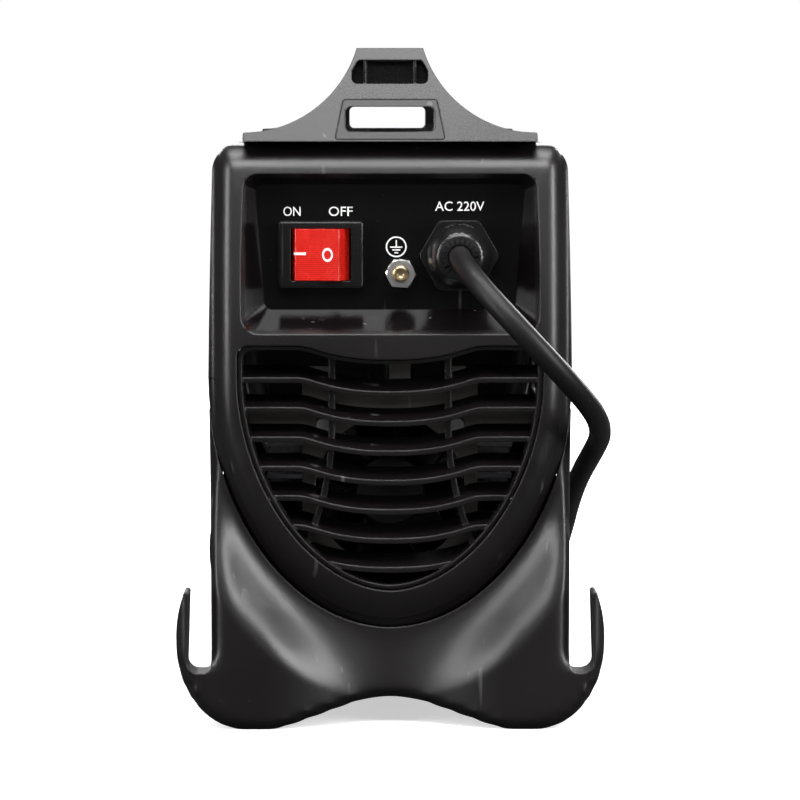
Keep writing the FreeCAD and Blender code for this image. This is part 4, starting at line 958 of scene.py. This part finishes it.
# %% lights, floor and world
def soft_box(name, place, target, wide, high, watts):
    light = bpy.data.lights.new(name, "AREA")
    light.shape = "RECTANGLE"
    light.size = wide
    light.size_y = high
    light.energy = watts
    lamp = bpy.data.objects.new(name, light)
    bpy.context.scene.collection.objects.link(lamp)
    lamp.location = place
    lamp.rotation_euler = (Vector(target) - Vector(place)).to_track_quat("-Z", "Y").to_euler()


soft_box("overhead", (0.0, -0.20, 1.35), (0, -0.05, 0.2), 1.2, 0.5, 15)
soft_box("front_high", (0.0, -0.92, 1.22), (0, -0.1, 0.20), 1.2, 0.42, 18)
soft_box("left_strip", (-1.15, -0.85, 0.50), (0, -0.1, 0.14), 0.24, 1.0, 11)
soft_box("right_strip", (1.15, -0.85, 0.50), (0, -0.1, 0.14), 0.24, 1.0, 15)
soft_box("low_card", (0.0, -2.1, 0.60), (0, 0, 0.12), 2.4, 0.25, 2)
soft_box("control_left", (0.95, 1.25, 0.75), (0, 0.1, 0.12), 0.5, 0.9, 20)
soft_box("control_right", (-0.95, 1.35, 0.65), (0, 0.1, 0.12), 0.4, 0.9, 16)
soft_box("control_high", (0.0, 1.7, 1.1), (0, 0.1, 0.15), 1.2, 0.5, 16)

world = bpy.data.worlds.new("studio")
bpy.context.scene.world = world
world.use_nodes = True
tree = world.node_tree
seen = add(tree, "ShaderNodeLightPath").outputs["Is Camera Ray"]
backdrop = tree.nodes["Background"]
backdrop.inputs["Color"].default_value = (1, 1, 1, 1)
join(tree, remap(tree, seen, 0, 1, 0.07, 1.0), backdrop.inputs["Strength"])
print("lights ready")

# %% [markdown]
# The floor is a pale sweep. To the camera it fades into the white world, so there is no horizon line;
# to the light that bounces it is a dark cloth, as if black card lay round the object, so that the lower
# faces of the case stay deep black.

# %% the floor
bpy.ops.object.select_all(action="DESELECT")
bpy.ops.mesh.primitive_plane_add(size=16, location=(0, 4, 0))
floor = bpy.context.object
done(floor, "floor")
floor_paint, tree, shader, place = start_material("floor_paint")
seen = add(tree, "ShaderNodeLightPath").outputs["Is Camera Ray"]
tones = add(tree, "ShaderNodeMix", data_type="RGBA")
tones.inputs["A"].default_value = (0.80, 0.80, 0.80, 1)
tones.inputs["B"].default_value = (0.86, 0.86, 0.86, 1)
join(tree, mapped_noise(tree, place, 3.0), tones.inputs["Factor"])
cloth = add(tree, "ShaderNodeMix", data_type="RGBA")
cloth.inputs["A"].default_value = (0.05, 0.05, 0.05, 1)
join(tree, seen, cloth.inputs["Factor"])
join(tree, tones.outputs["Result"], cloth.inputs["B"])
join(tree, cloth.outputs["Result"], shader.inputs["Base Color"])
far = add(tree, "ShaderNodeVectorMath", operation="LENGTH")
join(tree, place, far.inputs[0])
faded = remap(tree, far.outputs["Value"], 0.12, 0.45, 0.55, 1.0)
shader.inputs["Emission Color"].default_value = (1, 1, 1, 1)
join(tree, math_node(tree, "MULTIPLY", faded, seen), shader.inputs["Emission Strength"])
shader.inputs["Roughness"].default_value = 0.9
shader.inputs["Specular IOR Level"].default_value = 0.0
put_material(floor, floor_paint)
bpy.context.scene.view_settings.view_transform = "Standard"
print("floor ready")
